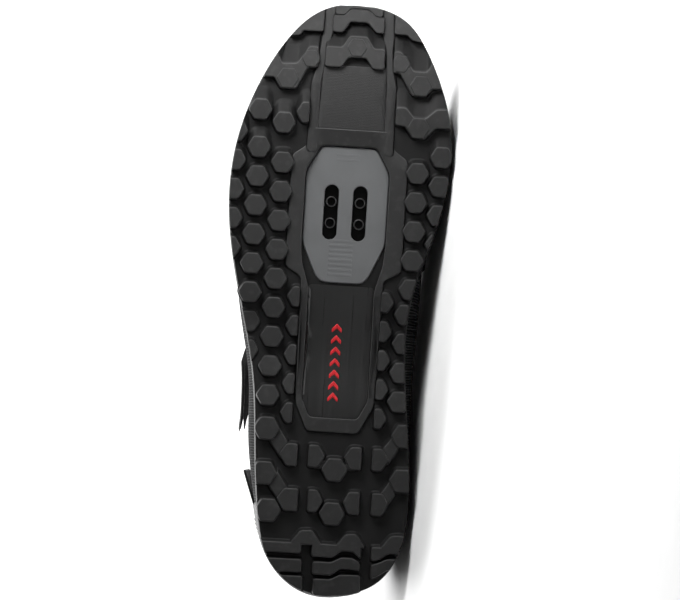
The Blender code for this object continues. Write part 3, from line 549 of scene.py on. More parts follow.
gloss = Finish("window_gloss", 0.22, Coat_Weight=0.15, Coat_Roughness=0.15)
streak_place = gloss.node("ShaderNodeMapping", {}, {"Vector": gloss.attribute("shoe", "Vector"),
                                                   "Scale": (8, 700, 1)})
streaks = gloss.noise(1.0, 3.0, streak_place)
gloss.feed("Base Color", gloss.blend(streaks, paint(0.004), paint(0.009)))
gloss.feed("Roughness", 0.2 + streaks * 0.22)
gloss.bump(streaks, 0.00006, 0.6)

red_mark = Finish("mark_red", 0.5, Specular_IOR_Level=0.25)
blush = red_mark.noise(400, 3.0)
red_mark.feed("Base Color", red_mark.blend(blush, (0.3, 0.008, 0.012, 1), (0.38, 0.014, 0.018, 1)))
red_mark.feed("Roughness", 0.36 + blush * 0.14)
red_mark.bump(blush, 0.00004, 0.5)

steel = Finish("nut_steel", 0.35, Metallic=1.0)
turning = steel.noise(1400, 3.0)
polished = steel.clip(steel.attribute("tip", "Fac"), 0.2, 0.9)
steel.feed("Base Color", steel.blend(polished, paint(0.006), steel.blend(turning, paint(0.07), paint(0.2))))
steel.feed("Roughness", 0.28 + turning * 0.2)
steel.bump(turning, 0.00004, 0.5)
tell(nylon, gloss, red_mark, steel)

# %% [markdown]
# ## Shapes
# A tread is about a hundred solids with one make: a flat top, a rounded edge, a leaning side and a soft foot.
# A shape here gathers rings of points and fills flat regions, with holes where they have them, by a
# triangulation that keeps to their edges. It becomes a mesh only once, at the end.


# %% Plan outlines
def counter_clockwise(corners):
    corners = np.asarray(corners, float)
    ahead = np.roll(corners, -1, 0)
    turning = np.sum(corners[:, 0] * ahead[:, 1] - ahead[:, 0] * corners[:, 1])
    return corners if turning > 0 else corners[::-1]


def ways_out(ring):
    """Outward direction at each point of a counter-clockwise ring, longer at sharp corners."""
    before = unit(ring - np.roll(ring, 1, 0) + 1e-12)
    after = unit(np.roll(ring, -1, 0) - ring + 1e-12)
    out = np.stack([before[:, 1] + after[:, 1], -before[:, 0] - after[:, 0]], -1)
    bend = np.maximum(1 + np.sum(before * after, -1, keepdims=True), 0.5)
    return out / bend


def rounded(corners, radius, steps=3):
    """The outline with each corner turned into a short curve."""
    ring = []
    for i, corner in enumerate(corners):
        before, after = corners[i - 1], corners[(i + 1) % len(corners)]
        to_before, to_after = before - corner, after - corner
        far = [max(np.linalg.norm(v), 1e-9) for v in (to_before, to_after)]
        start = corner + to_before * min(radius / far[0], 0.42)
        end = corner + to_after * min(radius / far[1], 0.42)
        for t in np.linspace(0, 1, steps + 1):
            ring.append((1 - t) ** 2 * start + 2 * t * (1 - t) * corner + t**2 * end)
    return np.array(ring)


def within(spots, loop):
    """Which spots lie inside a closed outline."""
    x, y = spots[:, 0, None], spots[:, 1, None]
    x0, y0 = loop[:, 0], loop[:, 1]
    x1, y1 = np.roll(x0, -1), np.roll(y0, -1)
    crosses = (y0 > y) != (y1 > y)
    with np.errstate(divide="ignore", invalid="ignore"):
        hits = crosses & (x < (x1 - x0) * (y - y0) / (y1 - y0) + x0)
    return hits.sum(1) % 2 == 1


print("a rounded corner has", len(rounded(np.eye(3), 0.1)) // 3, "points")


# %% Flat regions
def paved(loops, spacing=None):
    """Flat triangles that fill the first outline and leave out the others."""
    spots = [p for loop in loops for p in loop]
    edges, start = [], 0
    for loop in loops:
        edges += [(start + i, start + (i + 1) % len(loop)) for i in range(len(loop))]
        start += len(loop)
    if spacing:
        low, top = loops[0].min(0), loops[0].max(0)
        xs, ys = (np.arange(low[k] + spacing / 2, top[k], spacing) for k in (0, 1))
        lattice = np.stack(np.meshgrid(xs, ys), -1).reshape(-1, 2)
        spots += list(lattice[within(lattice, loops[0])])
    verts, _, faces, *_ = delaunay_2d_cdt([Vector(p) / MM for p in spots], edges, [], 0, 1e-5)
    verts = np.array([tuple(v) for v in verts]) * MM
    middles = np.array([verts[list(face)].mean(0) for face in faces])
    keep = within(middles, loops[0])
    for hole in loops[1:]:
        keep &= ~within(middles, hole)
    return verts, [face for face, kept in zip(faces, keep) if kept]


plain_square = np.array([(0, 0), (1, 0), (1, 1), (0, 1)]) * LUG_SIZE
print("a plain square is filled by", len(paved([plain_square])[1]), "faces")

# %% Shapes that become meshes
class Shape:
    """Points, faces and a tip share for each point, gathered before they become one mesh."""

    def __init__(self):
        self.points = []
        self.faces = []
        self.tips = []
        self.cloths = []

    def put(self, spots, tips=0.0, cloths=None):
        first = len(self.points)
        self.points += [tuple(p) for p in spots]
        self.tips += list(np.broadcast_to(tips, len(spots)))
        self.cloths += [tuple(c) for c in cloths] if cloths is not None else [(0, 0, 0)] * len(spots)
        return first

    def rings(self, rings, tips=None):
        """Walls between closed rings of the same count."""
        count = len(rings[0])
        firsts = [self.put(ring, 0.0 if tips is None else tips[i]) for i, ring in enumerate(rings)]
        for low, top in zip(firsts, firsts[1:]):
            for i in range(count):
                j = (i + 1) % count
                self.faces.append((low + i, low + j, top + j, top + i))

    def fill(self, loops, height, spacing=None, tip=0.0):
        """A floor over a flat region, lifted to height(x, y)."""
        verts, faces = paved(loops, spacing)
        z = height(verts[:, 0], verts[:, 1])
        first = self.put(np.column_stack([verts, np.broadcast_to(z, len(verts))]), tip)
        self.faces += [tuple(first + i for i in face) for face in faces]


print("a shape has:", ", ".join(name for name in vars(Shape) if not name.startswith("_")))


# %% Meshes
TOUCHING = 1e-6


def plain_mesh(name, shape, merge=TOUCHING, turn_out=True):
    """A mesh from a shape, still standing."""
    mesh = bpy.data.meshes.new(name)
    mesh.from_pydata(shape.points, [], shape.faces)
    mesh.attributes.new("tip", "FLOAT", "POINT").data.foreach_set("value", np.array(shape.tips, float))
    if np.any(shape.cloths):
        lengths = mesh.attributes.new("cloth", "FLOAT_VECTOR", "POINT")
        lengths.data.foreach_set("vector", np.ravel(shape.cloths))
    if merge or turn_out:
        body = bmesh.new()
        body.from_mesh(mesh)
        if merge:
            bmesh.ops.remove_doubles(body, verts=body.verts, dist=merge)
            bmesh.ops.dissolve_degenerate(body, edges=body.edges, dist=1e-7)
        if turn_out:
            bmesh.ops.recalc_face_normals(body, faces=body.faces)
        body.to_mesh(mesh)
        body.free()
    return mesh


def evaluated(made):
    """The object's mesh with its modifiers worked in."""
    graph = bpy.context.evaluated_depsgraph_get()
    mesh = bpy.data.meshes.new_from_object(made.evaluated_get(graph), depsgraph=graph)
    made.modifiers.clear()
    made.data = mesh
    return mesh


print("points closer than", TOUCHING / MM, "mm become one")

# %% Finished pieces
FLOOR_CLEARANCE = 0.03 * MM


def piece(name, mesh, finish, nodes=(), crease=35, weighted=True, panel=None):
    """Lays a standing mesh down as a finished piece of the shoe; what rests on the floor goes flat on it."""
    made = bpy.data.objects.new(name + "_finished" if name in nodes else name, mesh)
    bpy.context.scene.collection.objects.link(made)
    mesh.shade_smooth()
    mesh.set_sharp_from_angle(angle=math.radians(crease))
    if weighted:
        shading = made.modifiers.new("shading", "WEIGHTED_NORMAL")
        shading.keep_sharp = True
        mesh = evaluated(made)
    count = len(mesh.vertices)
    spots = np.zeros(count * 3)
    mesh.vertices.foreach_get("co", spots)
    mesh.attributes.new("shoe", "FLOAT_VECTOR", "POINT").data.foreach_set("vector", spots)
    if panel is not None:
        share = panel(*spots.reshape(-1, 3).T)
        mesh.attributes.new("panel", "FLOAT", "POINT").data.foreach_set("value", share)
    mesh.transform(REST)
    mesh.vertices.foreach_get("co", spots)
    spots[2::3] = np.maximum(spots[2::3], FLOOR_CLEARANCE)
    mesh.vertices.foreach_set("co", spots)
    mesh.materials.clear()
    mesh.materials.append(finish.material)
    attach(made, "root")
    if nodes:
        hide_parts(*nodes)
    print(f"{name}: {sum(len(face.vertices) - 2 for face in mesh.polygons)} triangles")
    return made


def soft_piece(name, shape, finish, nodes=(), crease=60):
    """A shell of cloth or film, whose points keep their order and their two lengths."""
    return piece(name, plain_mesh(name, shape, merge=None), finish, nodes, crease, weighted=False)


print("pieces stand at least", round(FLOOR_CLEARANCE / MM, 2), "mm over the floor")

# %% [markdown]
# ## Repeats with Geometry Nodes
# Lugs, stitches and ribs are one small template put down many times. A node tree takes a cloud of
# points that each carry a turn, puts the template on them, makes the copies real and gives them their
# finish. The result is turned into a plain mesh at once.


# %% The repeating tree
def repeating_tree():
    tree = bpy.data.node_groups.new("repeat_on_points", "GeometryNodeTree")
    face = tree.interface
    face.new_socket("Geometry", in_out="INPUT", socket_type="NodeSocketGeometry")
    face.new_socket("Template", in_out="INPUT", socket_type="NodeSocketObject")
    face.new_socket("Size", in_out="INPUT", socket_type="NodeSocketFloat")
    face.new_socket("Finish", in_out="INPUT", socket_type="NodeSocketMaterial")
    face.new_socket("Geometry", in_out="OUTPUT", socket_type="NodeSocketGeometry")

    def add(kind, **settings):
        made = tree.nodes.new(kind)
        for label, value in settings.items():
            setattr(made, label, value)
        return made

    entry, leave = add("NodeGroupInput"), add("NodeGroupOutput")
    info = add("GeometryNodeObjectInfo", transform_space="ORIGINAL")
    lean = add("GeometryNodeInputNamedAttribute", data_type="FLOAT_VECTOR")
    lean.inputs["Name"].default_value = "lean"
    turned = add("FunctionNodeEulerToRotation")
    put = add("GeometryNodeInstanceOnPoints")
    real = add("GeometryNodeRealizeInstances")
    coat = add("GeometryNodeSetMaterial")
    for source, label, target, socket in (
        (entry, "Template", info, "Object"), (entry, "Geometry", put, "Points"),
        (info, "Geometry", put, "Instance"), (lean, "Attribute", turned, "Euler"),
        (turned, "Rotation", put, "Rotation"), (entry, "Size", put, "Scale"),
        (put, "Instances", real, "Geometry"), (real, "Geometry", coat, "Geometry"),
        (entry, "Finish", coat, "Material"), (coat, "Geometry", leave, "Geometry"),
    ):
        tree.links.new(source.outputs[label], target.inputs[socket])
    return tree


REPEAT = repeating_tree()
print("repeating tree:", len(REPEAT.nodes), "nodes")


def repeated(name, template, spots, leans, finish, size=1.0):
    """A mesh of copies of the template at the spots, each turned by its lean."""
    shown = bpy.data.objects.new(name + "_template", template)
    cloud = bpy.data.meshes.new(name + "_points")
    cloud.from_pydata([tuple(p) for p in spots], [], [])
    cloud.attributes.new("lean", "FLOAT_VECTOR", "POINT").data.foreach_set("vector", np.ravel(leans))
    made = bpy.data.objects.new(name + "_cloud", cloud)
    for item in (shown, made):
        bpy.context.scene.collection.objects.link(item)
    step = made.modifiers.new("repeat", "NODES")
    step.node_group = REPEAT
    named = {item.name: item.identifier for item in REPEAT.interface.items_tree if item.in_out == "INPUT"}
    step[named["Template"]] = shown
    step[named["Size"]] = size
    step[named["Finish"]] = finish.material
    mesh = evaluated(made)
    for item in (made, shown):
        bpy.data.objects.remove(item, do_unlink=True)
    return mesh


# %% [markdown]
# ## The tread
# The lugs keep the places and outlines of the model: six-sided lugs in columns, larger ones under the
# heel and long bars across toe and heel. On the photograph each one climbs gently on its toe side
# and drops off sharply on its heel side, like a roof tile, so the foot of its toe side is drawn forward.

# %% Lug tables, in percent of length and ball width
LUG_COLUMNS = [
    (54.3, 57.8, 5, 0.0, None, None),
    (43.8, 50.4, 6, 0.0, None, None),
    (33.0, 33.4, 9, 0.0, None, None),
    (22.1, 30.6, 5, 0.0, 21.8, None),
    (-14.8, 30.5, 5, 0.0, None, -14.5),
    (-24.8, 33.5, 4, -0.8, None, None),
    (-26.8, 52.4, 5, 0.0, None, None),
    (-37.1, 60.2, 4, 0.0, None, None),
    (44.1, 81.1, 1, 0.0, None, None),
    (33.5, 79.1, 1, 0.0, None, None),
    (23.1, 81.0, 1, 0.0, 22.6, None),
]
HEEL_LUGS = [
    (32.6, 27.8), (1.7, 21.5), (-28.2, 27.8),
    (32.6, 20.3), (1.6, 14.1), (-28.4, 20.3), (29.9, 14.1),
]
BARS = {
    "toe_tip": [(13.6, 98.0, 101), (9.5, 98.0, 101), (6.8, 99.2, 101), (-0.9, 99.2, 101),
                (-4.5, 98.0, 101), (-7.3, 98.0, 101)],
    "toe_second": [(14.5, 95.0, 97.9), (10.0, 95.0, 97.9), (7.0, 96.9, 99.1), (-0.9, 96.9, 99.1),
                   (-4.9, 95.2, 97.9), (-8.2, 95.2, 97.9)],
    "toe_lateral": [(18.6, 94.9, 101), (27.7, 94.9, 101), (28.6, 94.1, 101), (36.0, 93.7, 101)],
    "toe_medial": [(-12.9, 95.2, 101), (-18.6, 95.2, 101), (-20.9, 94.3, 101), (-29.0, 93.8, 101)],
    "front_centre": [(17.0, 89.0, 92.4), (9.8, 89.0, 92.4), (6.7, 90.8, 94.4), (-1.0, 90.8, 94.4),
                     (-4.3, 89.0, 92.4), (-9.3, 89.0, 92.4)],
    "front_lateral": [(20.2, 88.7, 92.2), (24.4, 88.7, 92.2), (29.2, 84.9, 89.2), (36.0, 84.8, 89.0),
                      (39.0, 86.7, 91.2), (47.0, 86.7, 93.0)],
    "front_medial": [(-13.4, 88.6, 92.2), (-16.4, 88.6, 92.2), (-22.3, 84.9, 89.0),
                     (-28.2, 84.8, 89.0), (-31.2, 86.3, 91.0), (-39.0, 86.2, 93.0)],
    "ball_medial": [(-15.7, 79.8, 82.8), (-20.0, 79.7, 82.8), (-23.6, 77.8, 81.2),
                    (-29.0, 77.7, 81.2), (-33.6, 79.7, 82.8), (-44.0, 79.7, 83.0)],
    "heel_d_lateral": [(18.4, 21.7, 25.5), (23.2, 21.7, 25.5), (26.2, 23.5, 23.8)],
    "heel_d_inner_lateral": [(13.5, 21.7, 25.5), (9.1, 21.7, 25.5), (6.4, 23.5, 23.8)],
    "heel_d_inner_medial": [(-2.6, 23.5, 23.8), (-5.0, 21.7, 25.5), (-10.0, 21.7, 25.5)],
    "heel_d_medial": [(-14.8, 21.7, 25.5), (-19.0, 21.7, 25.5), (-22.0, 23.5, 23.8)],
    "heel_e_lateral": [(17.0, 14.2, 18.0), (23.2, 14.2, 18.0), (26.2, 16.0, 16.3)],
    "heel_e_inner_lateral": [(12.5, 14.2, 18.0), (8.6, 14.2, 18.0), (6.1, 16.0, 16.3)],
    "heel_e_inner_medial": [(-3.2, 16.0, 16.3), (-5.4, 14.2, 18.0), (-10.3, 14.2, 18.0)],
    "heel_e_medial": [(-15.7, 14.2, 18.0), (-20.5, 14.2, 18.0), (-22.7, 16.0, 16.3)],
    "rear_hump_lateral": [(18.8, 8.7, 9.1), (14.9, 8.7, 11.1), (9.7, 8.7, 11.2), (5.5, 8.7, 9.0)],
    "rear_hump_middle": [(-1.3, 8.7, 9.0), (-5.2, 8.7, 10.9), (-10.0, 8.7, 11.0), (-13.6, 8.7, 9.0)],
    "rear_hump_medial": [(-21.1, 8.7, 9.0), (-25.0, 8.7, 11.0), (-29.1, 8.7, 11.2), (-34.0, 8.7, 10.6)],
    "rear_1_lateral": [(34.0, 7.2, 9.0), (14.2, 7.2, 9.0)],
    "rear_1_middle": [(9.4, 6.8, 9.0), (0.0, 6.8, 9.0), (-3.6, 8.0, 9.0), (-8.7, 8.0, 9.0),
                      (-12.3, 6.8, 9.0)],
    "rear_1_medial": [(-17.0, 6.6, 9.0), (-20.0, 6.8, 9.0), (-24.5, 8.0, 9.0), (-34.0, 8.0, 9.0)],
    "rear_2_lateral": [(31.0, 4.0, 6.2), (13.6, 4.0, 6.2)],
    "rear_2_middle": [(8.6, 3.8, 6.0), (0.5, 3.8, 6.0), (-3.6, 5.0, 6.9), (-9.0, 5.0, 6.9),
                      (-12.2, 4.8, 6.2)],
    "rear_2_medial": [(-17.2, 3.6, 6.0), (-20.5, 4.2, 6.4), (-24.0, 5.2, 7.1), (-31.0, 5.2, 7.2)],
    "rear_3_lateral": [(25.0, -1, 3.4), (12.9, -1, 3.4)],
    "rear_3_middle": [(7.9, -1, 3.1), (0.5, -1, 3.1), (-3.6, -1, 4.0), (-12.7, -1, 4.1)],
    "rear_3_medial": [(-17.4, -1, 2.6), (-25.0, -1, 4.2)],
}
print(len(LUG_COLUMNS), "columns of lugs,", len(HEEL_LUGS), "heel lugs and", len(BARS), "bars")

# %% Tables of frame, plate and window, in percent of length and ball width
FRAME_ROWS = [
    (27.8, 15.0, -7.4), (32.3, 20.5, -13.6), (34.5, 20.8, -14.0), (50.4, 21.3, -14.4),
    (53.6, 21.6, -14.6), (55.2, 28.9, -22.3), (73.9, 28.9, -22.2), (75.6, 22.7, -15.8),
    (78.6, 22.6, -15.2),
]
RECESS_ROWS = [
    (30.1, 14.4, -7.0), (33.3, 18.2, -11.2), (51.6, 18.2, -10.9), (56.0, 21.8, -14.0),
    (59.5, 22.6, -14.8), (71.4, 22.6, -14.8), (75.3, 17.0, -9.2), (75.9, 15.4, -7.6),
]
PLATE_ROWS = [
    (52.8, 12.7, -4.9), (53.8, 15.6, -7.8), (59.5, 22.4, -14.6), (71.4, 22.4, -14.6),
    (75.2, 16.8, -9.0), (75.7, 15.2, -7.4),
]
WINDOW_ROWS = [(30.1, 14.4, -7.0), (33.3, 18.2, -11.2), (52.4, 18.2, -10.9)]
CHANNEL_ROWS = [(50, 18.0, -10.8), (56, 21.6, -13.8), (60, 22.4, -14.6)]
print(len(FRAME_ROWS), "rows for the frame and", len(RECESS_ROWS), "for the recess")


# %% Cut outlines
EDGE_MARGIN = 0.7 * MM
SHORTEST_EDGE = 0.35 * MM


def clipped(corners, point, inward):
    """The part of a flat outline that lies on the inward side of a line."""
    kept = []
    for here, there in zip(corners, np.roll(corners, -1, 0)):
        a, b = np.dot(here - point, inward), np.dot(there - point, inward)
        if a >= 0:
            kept.append(here)
        if a * b < 0:
            kept.append(here + (there - here) * a / (a - b))
    return np.array(kept)


def trimmed(corners):
    """A lug's outline kept inside the sole's edge."""
    low = max(corners[:, 0].min(), 0.004 * LENGTH)
    top = min(corners[:, 0].max(), 0.996 * LENGTH)
    for share in np.linspace(0, 1, 7):
        section = section_at(low + (top - low) * share)
        for side in (section, 24 - section):
            if len(corners):
                point, out = outline(side, EDGE_MARGIN)
                corners = clipped(corners, point, -out)
    return corners


print("lugs stay", round(EDGE_MARGIN / MM, 1), "mm inside the sole's edge")


# %% Outlines of the lugs
def hexagon(x, y, size):
    turns = np.arange(6) * np.pi / 3
    return np.stack([x + size / 2 * np.sin(turns), y + size / 2 * np.cos(turns)], -1)


def bar_outline(rows):
    rows = np.array(rows, float)
    heel = np.stack([along(rows[:, 1]), across(rows[:, 0])], -1)
    toe = np.stack([along(rows[:, 2]), across(rows[:, 0])], -1)
    return np.concatenate([heel, toe[::-1]])


def rows_outline(rows):
    rows = np.array(rows, float)
    lateral = np.stack([along(rows[:, 0]), across(rows[:, 1])], -1)
    medial = np.stack([along(rows[:, 0]), across(rows[:, 2])], -1)
    return counter_clockwise(np.concatenate([lateral, medial[::-1]]))


def area(corners):
    if len(corners) < 3:
        return 0.0
    ahead = np.roll(corners, -1, 0)
    return abs(np.sum(corners[:, 0] * ahead[:, 1] - ahead[:, 0] * corners[:, 1])) / 2


def without_short_edges(corners):
    kept = [corners[0]]
    for corner in corners[1:]:
        if np.linalg.norm(corner - kept[-1]) > SHORTEST_EDGE:
            kept.append(corner)
    if np.linalg.norm(kept[0] - kept[-1]) <= SHORTEST_EDGE:
        kept.pop()
    return np.array(kept)


def kept_inside(ring):
    """Points past the sole's edge are drawn back to it."""
    x = np.clip(ring[:, 0], 0.8 * MM, LENGTH - 0.8 * MM)
    section = np.arccos(1 - 2 * x / LENGTH) / (2 * np.pi) * 24
    lateral = across(OUTLINE(section)) + SIDEWALL_BULGE
    medial = across(OUTLINE(24 - section)) - SIDEWALL_BULGE
    return np.column_stack([x, np.clip(ring[:, 1], lateral, medial)])


print("a full lug covers", round(area(hexagon(0, 0, LUG_SIZE)) / MM**2, 1), "square millimetres")

# %% One lug
LUG_FOOT = 0.7 * MM
BURIED = 0.8 * MM
FACE_SPACING = 4 * MM
SMALLEST_LUG = LUG_SIZE**2 / 20


def lug(shape, corners, height=LUG_HEIGHT, ramp=1.0 * MM, edge=0.55 * MM, draft=0.35 * MM, radius=1.1 * MM,
        line=tread_base):
    """A raised solid: flat top, rounded edge, leaning side, and a foot drawn forward by ramp."""
    corners = counter_clockwise(without_short_edges(counter_clockwise(corners)))
    out = ways_out(corners)
    foot = min(LUG_FOOT, height / 2)
    profile = [
        (edge, 0.0, 0.0, 1.0), (edge * 0.45, edge * 0.14, 0.0, 1.0), (edge * 0.12, edge * 0.5, 0.0, 0.97),
        (0.0, edge, 0.0, 0.9), (-draft, height - foot, 0.75, 0.25),
        (-draft - foot * 0.35, height - foot * 0.3, 0.9, 0.1),
        (-draft - foot, height, 1.0, 0.0), (-draft - foot, height + BURIED, 1.0, 0.0),
    ]
    rings, tips = [], []
    for inset, depth, share, tip_share in profile:
        ring = rounded(corners - out * inset, max(radius - inset, 0.3 * MM))
        forward = smooth(unit(ways_out(ring))[:, 0] / 0.45)
        ring = ring + np.stack([forward * ramp * share, 0 * forward], -1)
        if line is tread_base:
            ring = kept_inside(ring)
        z = line(ring[:, 0]) - height + depth
        rings.append(np.column_stack([ring, z]))
        tips.append(tip_share)
    shape.rings(rings, tips)
    small = area(corners) < 2.2 * LUG_SIZE**2 / 2
    shape.fill([rings[0][:, :2]], lambda x, y: line(x) - height, None if small else FACE_SPACING, 1.0)


hex_template = Shape()
lug(hex_template, hexagon(0, 0, LUG_SIZE), ramp=0.5 * MM, line=lambda x: LUG_HEIGHT + 0 * x)
print("one full lug:", len(hex_template.faces), "faces")

# %% Full lugs by repetition, cut lugs one by one
FOREFOOT = 200 * MM
tread = Shape()
hex_spots, hex_leans = [], []


def slope_at(x):
    return -math.atan(float(tread_line(x + 1 * MM) - tread_line(x - 1 * MM)) / (2 * MM))


def ramp_at(x):
    """How far a lug's toe side runs out: long in the forefoot, short elsewhere."""
    return (0.5 + 5.5 * float(smooth((x - FOREFOOT) / (28 * MM)))) * MM


cut_lugs = 0
for place, first, count, drift, inner_lateral, inner_medial in LUG_COLUMNS:
    for i in range(count):
        x = float(along(first)) + i * LUG_PITCH
        y = float(across(place + drift * i / max(count - 1, 1)))
        corners = hexagon(x, y, LUG_SIZE)
        if inner_lateral is not None:
            corners = clipped(corners, np.array([0, across(inner_lateral)]), np.array([0, -1.0]))
        if inner_medial is not None:
            corners = clipped(corners, np.array([0, across(inner_medial)]), np.array([0, 1.0]))
        corners = trimmed(corners)
        full = area(corners) > 0.995 * area(hexagon(x, y, LUG_SIZE))
        if full and x < FOREFOOT:
            hex_spots.append((x, y, float(tread_line(x))))
            hex_leans.append((0, slope_at(x), 0))
        elif area(corners) > SMALLEST_LUG:
            lug(tread, corners, ramp=ramp_at(x))
            cut_lugs += 1
for place, run in HEEL_LUGS:
    corners = trimmed(hexagon(float(along(run)), float(across(place)), HEEL_LUG_SIZE))
    lug(tread, corners, ramp=0.6 * MM, edge=0.6 * MM)
    cut_lugs += 1

print(len(hex_spots), "full lugs,", cut_lugs, "cut lugs and heel lugs")

# %% Bars and their caps
RAMPS = {"toe_tip": 0.5, "toe_second": 1.2, "toe_lateral": 0.5, "toe_medial": 0.5, "front_centre": 6.5,
         "front_lateral": 9.0, "front_medial": 9.0, "ball_medial": 9.0}
LOWERED = ("front_centre", "front_lateral", "front_medial", "ball_medial")
LOWERED_BY = 0.35 * MM
BAR_CAPS = [(268.3, 3.5, 10.2, None), (251.2, 36.3, 11.3, None), (261.5, 25.6, 9.5, 21.4),
            (251.2, -28.6, 11.3, None), (261.5, -18.2, 9.5, -14.6), (230.6, -28.6, 11.3, None)]
for name, rows in BARS.items():
    corners = trimmed(bar_outline(rows))
    if area(corners) > SMALLEST_LUG:
        low = LOWERED_BY if name in LOWERED else 0.0
        lug(tread, corners, height=LUG_HEIGHT - low, ramp=RAMPS.get(name, 0.4) * MM, radius=1.3 * MM)
        cut_lugs += 1
for along_mm, lateral_mm, size, cut_mm in BAR_CAPS:
    corners = hexagon(along_mm * MM, -lateral_mm * MM, size * MM)
    if cut_mm is not None:
        corners = clipped(corners, np.array([0, -cut_mm * MM]), np.array([0, -np.sign(cut_mm)]))
    lug(tread, trimmed(corners), ramp=3.0 * MM, radius=0.8 * MM)

print(len(hex_spots), "full lugs,", cut_lugs, "cut lugs, heel lugs and bars,", len(BAR_CAPS), "caps")

# %% [markdown]
# ## Low forms of the tread
# Between the lugs lie lower forms: the webs of the heel, the rails that run to the toe tip, the
# textured panel before the plate and the raised frame round plate and window. They use the same solid
# with less height. The frame is a flat region with a hole, and its inner wall drops into the recess.

# %% Webs, rails and panel, in millimetres along and to the lateral side
WEBS = [
    [(83, 31), (74, 25), (66, 28), (75, 34.5)], [(83, -28), (74, -21), (66, -24), (74, -28.5)],
    [(60, 29.5), (52, 24), (44.5, 27), (53, 33.5)], [(60, -26.5), (51.5, -21), (45, -24), (52, -28.5)],
    [(67, 8.8), (62.5, 12), (62.5, 7.5), (66, 5)], [(67, -5), (63, -1.8), (62.5, -4), (62.5, -8.5)],
]
RAILS = [
    [(216, 24.9), (250, 24.6), (258, 22.6), (268, 21.3), (275, 20.6), (288, 19.9),
     (288, 14.9), (275, 15.8), (268, 17.9), (258, 18.9), (250, 20.1), (216, 20.3)],
    [(216, -12.2), (250, -12.2), (258, -11.6), (268, -10.8), (275, -8.8), (288, -7.8),
     (288, -13.4), (275, -14.3), (268, -13.9), (258, -14.8), (250, -16.6), (216, -16.9)],
]
PANEL = [(228, 20.2), (259, 20.2), (259, -12.0), (228, -12.0)]
LOW_LUGS = [(118, 48.2), (132, 48.2)]


def millimetre_outline(rows):
    return np.array([(u * MM, -v * MM) for u, v in rows])


for run, lateral_mm in LOW_LUGS:
    low_lug = hexagon(run * MM, -lateral_mm * MM, LUG_SIZE)
    lug(tread, trimmed(low_lug), height=1.2 * MM, edge=0.5 * MM)
for corners in WEBS:
    lug(tread, millimetre_outline(corners), height=2.7 * MM, edge=0.6 * MM, radius=1.0 * MM)
for corners in RAILS:
    lug(tread, trimmed(millimetre_outline(corners)), height=1.7 * MM, edge=0.5 * MM, radius=2 * MM)
lug(tread, millimetre_outline(PANEL), height=1.2 * MM, edge=0.3 * MM, draft=0.1 * MM, radius=0.8 * MM)
print(len(WEBS), "webs,", len(RAILS), "rails and", len(LOW_LUGS), "low lugs")

# %% [markdown]
# The frame is one moulded rim round plate and window. It could be cut out with a boolean, but a flat
# region with a hole, filled once between two stacks of rings, keeps its bevels even.

# %% Frame round plate and window
FRAME_MIDDLE = -4.2 * MM
FRAME_TOE = 212 * MM
PANEL_HEEL = 228 * MM
CORNER_BEVEL = 1.4 * MM


def frame_drop(x, y):
    """The frame slopes down to the plate at its toe end, between the rails."""
    along_share = np.clip((PANEL_HEEL - x) / (8 * MM), 0, 1)
    side_share = 1 - smooth((np.abs(y - FRAME_MIDDLE) - 14.5 * MM) / (2 * MM))
    return FRAME_HEIGHT * along_share * side_share * np.clip((x - FRAME_TOE) / (4 * MM), 0, 1)


def frame_line(x, y):
    """The frame's face: level, with its toe corners bevelled."""
    corner = smooth((np.abs(y - FRAME_MIDDLE) - 19.5 * MM) / (2 * MM))
    corner = corner * np.clip((x - FRAME_TOE) / (7 * MM), 0, 1)
    return tread_base(x) - FRAME_HEIGHT + frame_drop(x, y) + CORNER_BEVEL * corner


def ring_at(corners, inset, depth, radius, line):
    ring = rounded(corners - ways_out(corners) * inset, radius, 4)
    return np.column_stack([ring, line(ring[:, 0], ring[:, 1]) + depth])


frame_outer = rows_outline(FRAME_ROWS)
recess = rows_outline(RECESS_ROWS)
OUTER_STEPS = [(0.35, 0.0), (0.1, 0.1), (-0.05, 0.3), (-0.7, 1.5), (-0.9, 2.6)]
INNER_STEPS = [(-0.35, 0.0), (-0.1, 0.1), (0.0, 0.35), (0.1, 1.2), (0.3, 4.2)]
FRAME_TIPS = [1.0, 0.97, 0.9, 0.2, 0.0]
OUTER_RADIUS, INNER_RADIUS = 2.2 * MM, 2.0 * MM
outer_rings = [ring_at(frame_outer, a * MM, b * MM, OUTER_RADIUS, frame_line) for a, b in OUTER_STEPS]
inner_rings = [ring_at(recess, a * MM, b * MM, INNER_RADIUS, frame_line) for a, b in INNER_STEPS]
tread.rings(outer_rings, FRAME_TIPS)
tread.rings(inner_rings, FRAME_TIPS)
tread.fill([outer_rings[0][:, :2], inner_rings[0][:, :2]], frame_line, 2.5 * MM, 1.0)
print("frame:", len(frame_outer), "corners outside and", len(recess), "inside")

# %% [markdown]
# The ground between the lugs is one sheet of rubber. The lugs are walls that reach down into it, which
# joins them without a boolean, and its rolled edge is a stack of rings of the sole's outline.

# %% Ground of the tread and its edge
NUT_HALF = (SLOT_LENGTH / 2 + 4 * MM, SLOT_SPACING / 2 + SLOT_WIDTH / 2 + 4 * MM)
NUT_BLOCK = np.array([(CLEAT_ALONG + a * NUT_HALF[0], -CLEAT_ACROSS + b * NUT_HALF[1])
                      for a, b in ((-1, -1), (1, -1), (1, 1), (-1, 1))])


def nut_outline(inset):
    return rounded(NUT_BLOCK - ways_out(NUT_BLOCK) * inset, 2 * MM)


FINE = 288
FLAT_SPACING = 9 * MM
SEAT = 0.05 * MM
fine_sections = np.arange(FINE) * 24 / FINE


def sole_ring(inset, height):
    plan, _ = outline(fine_sections, inset)
    return np.column_stack([plan, height(plan[:, 0])])


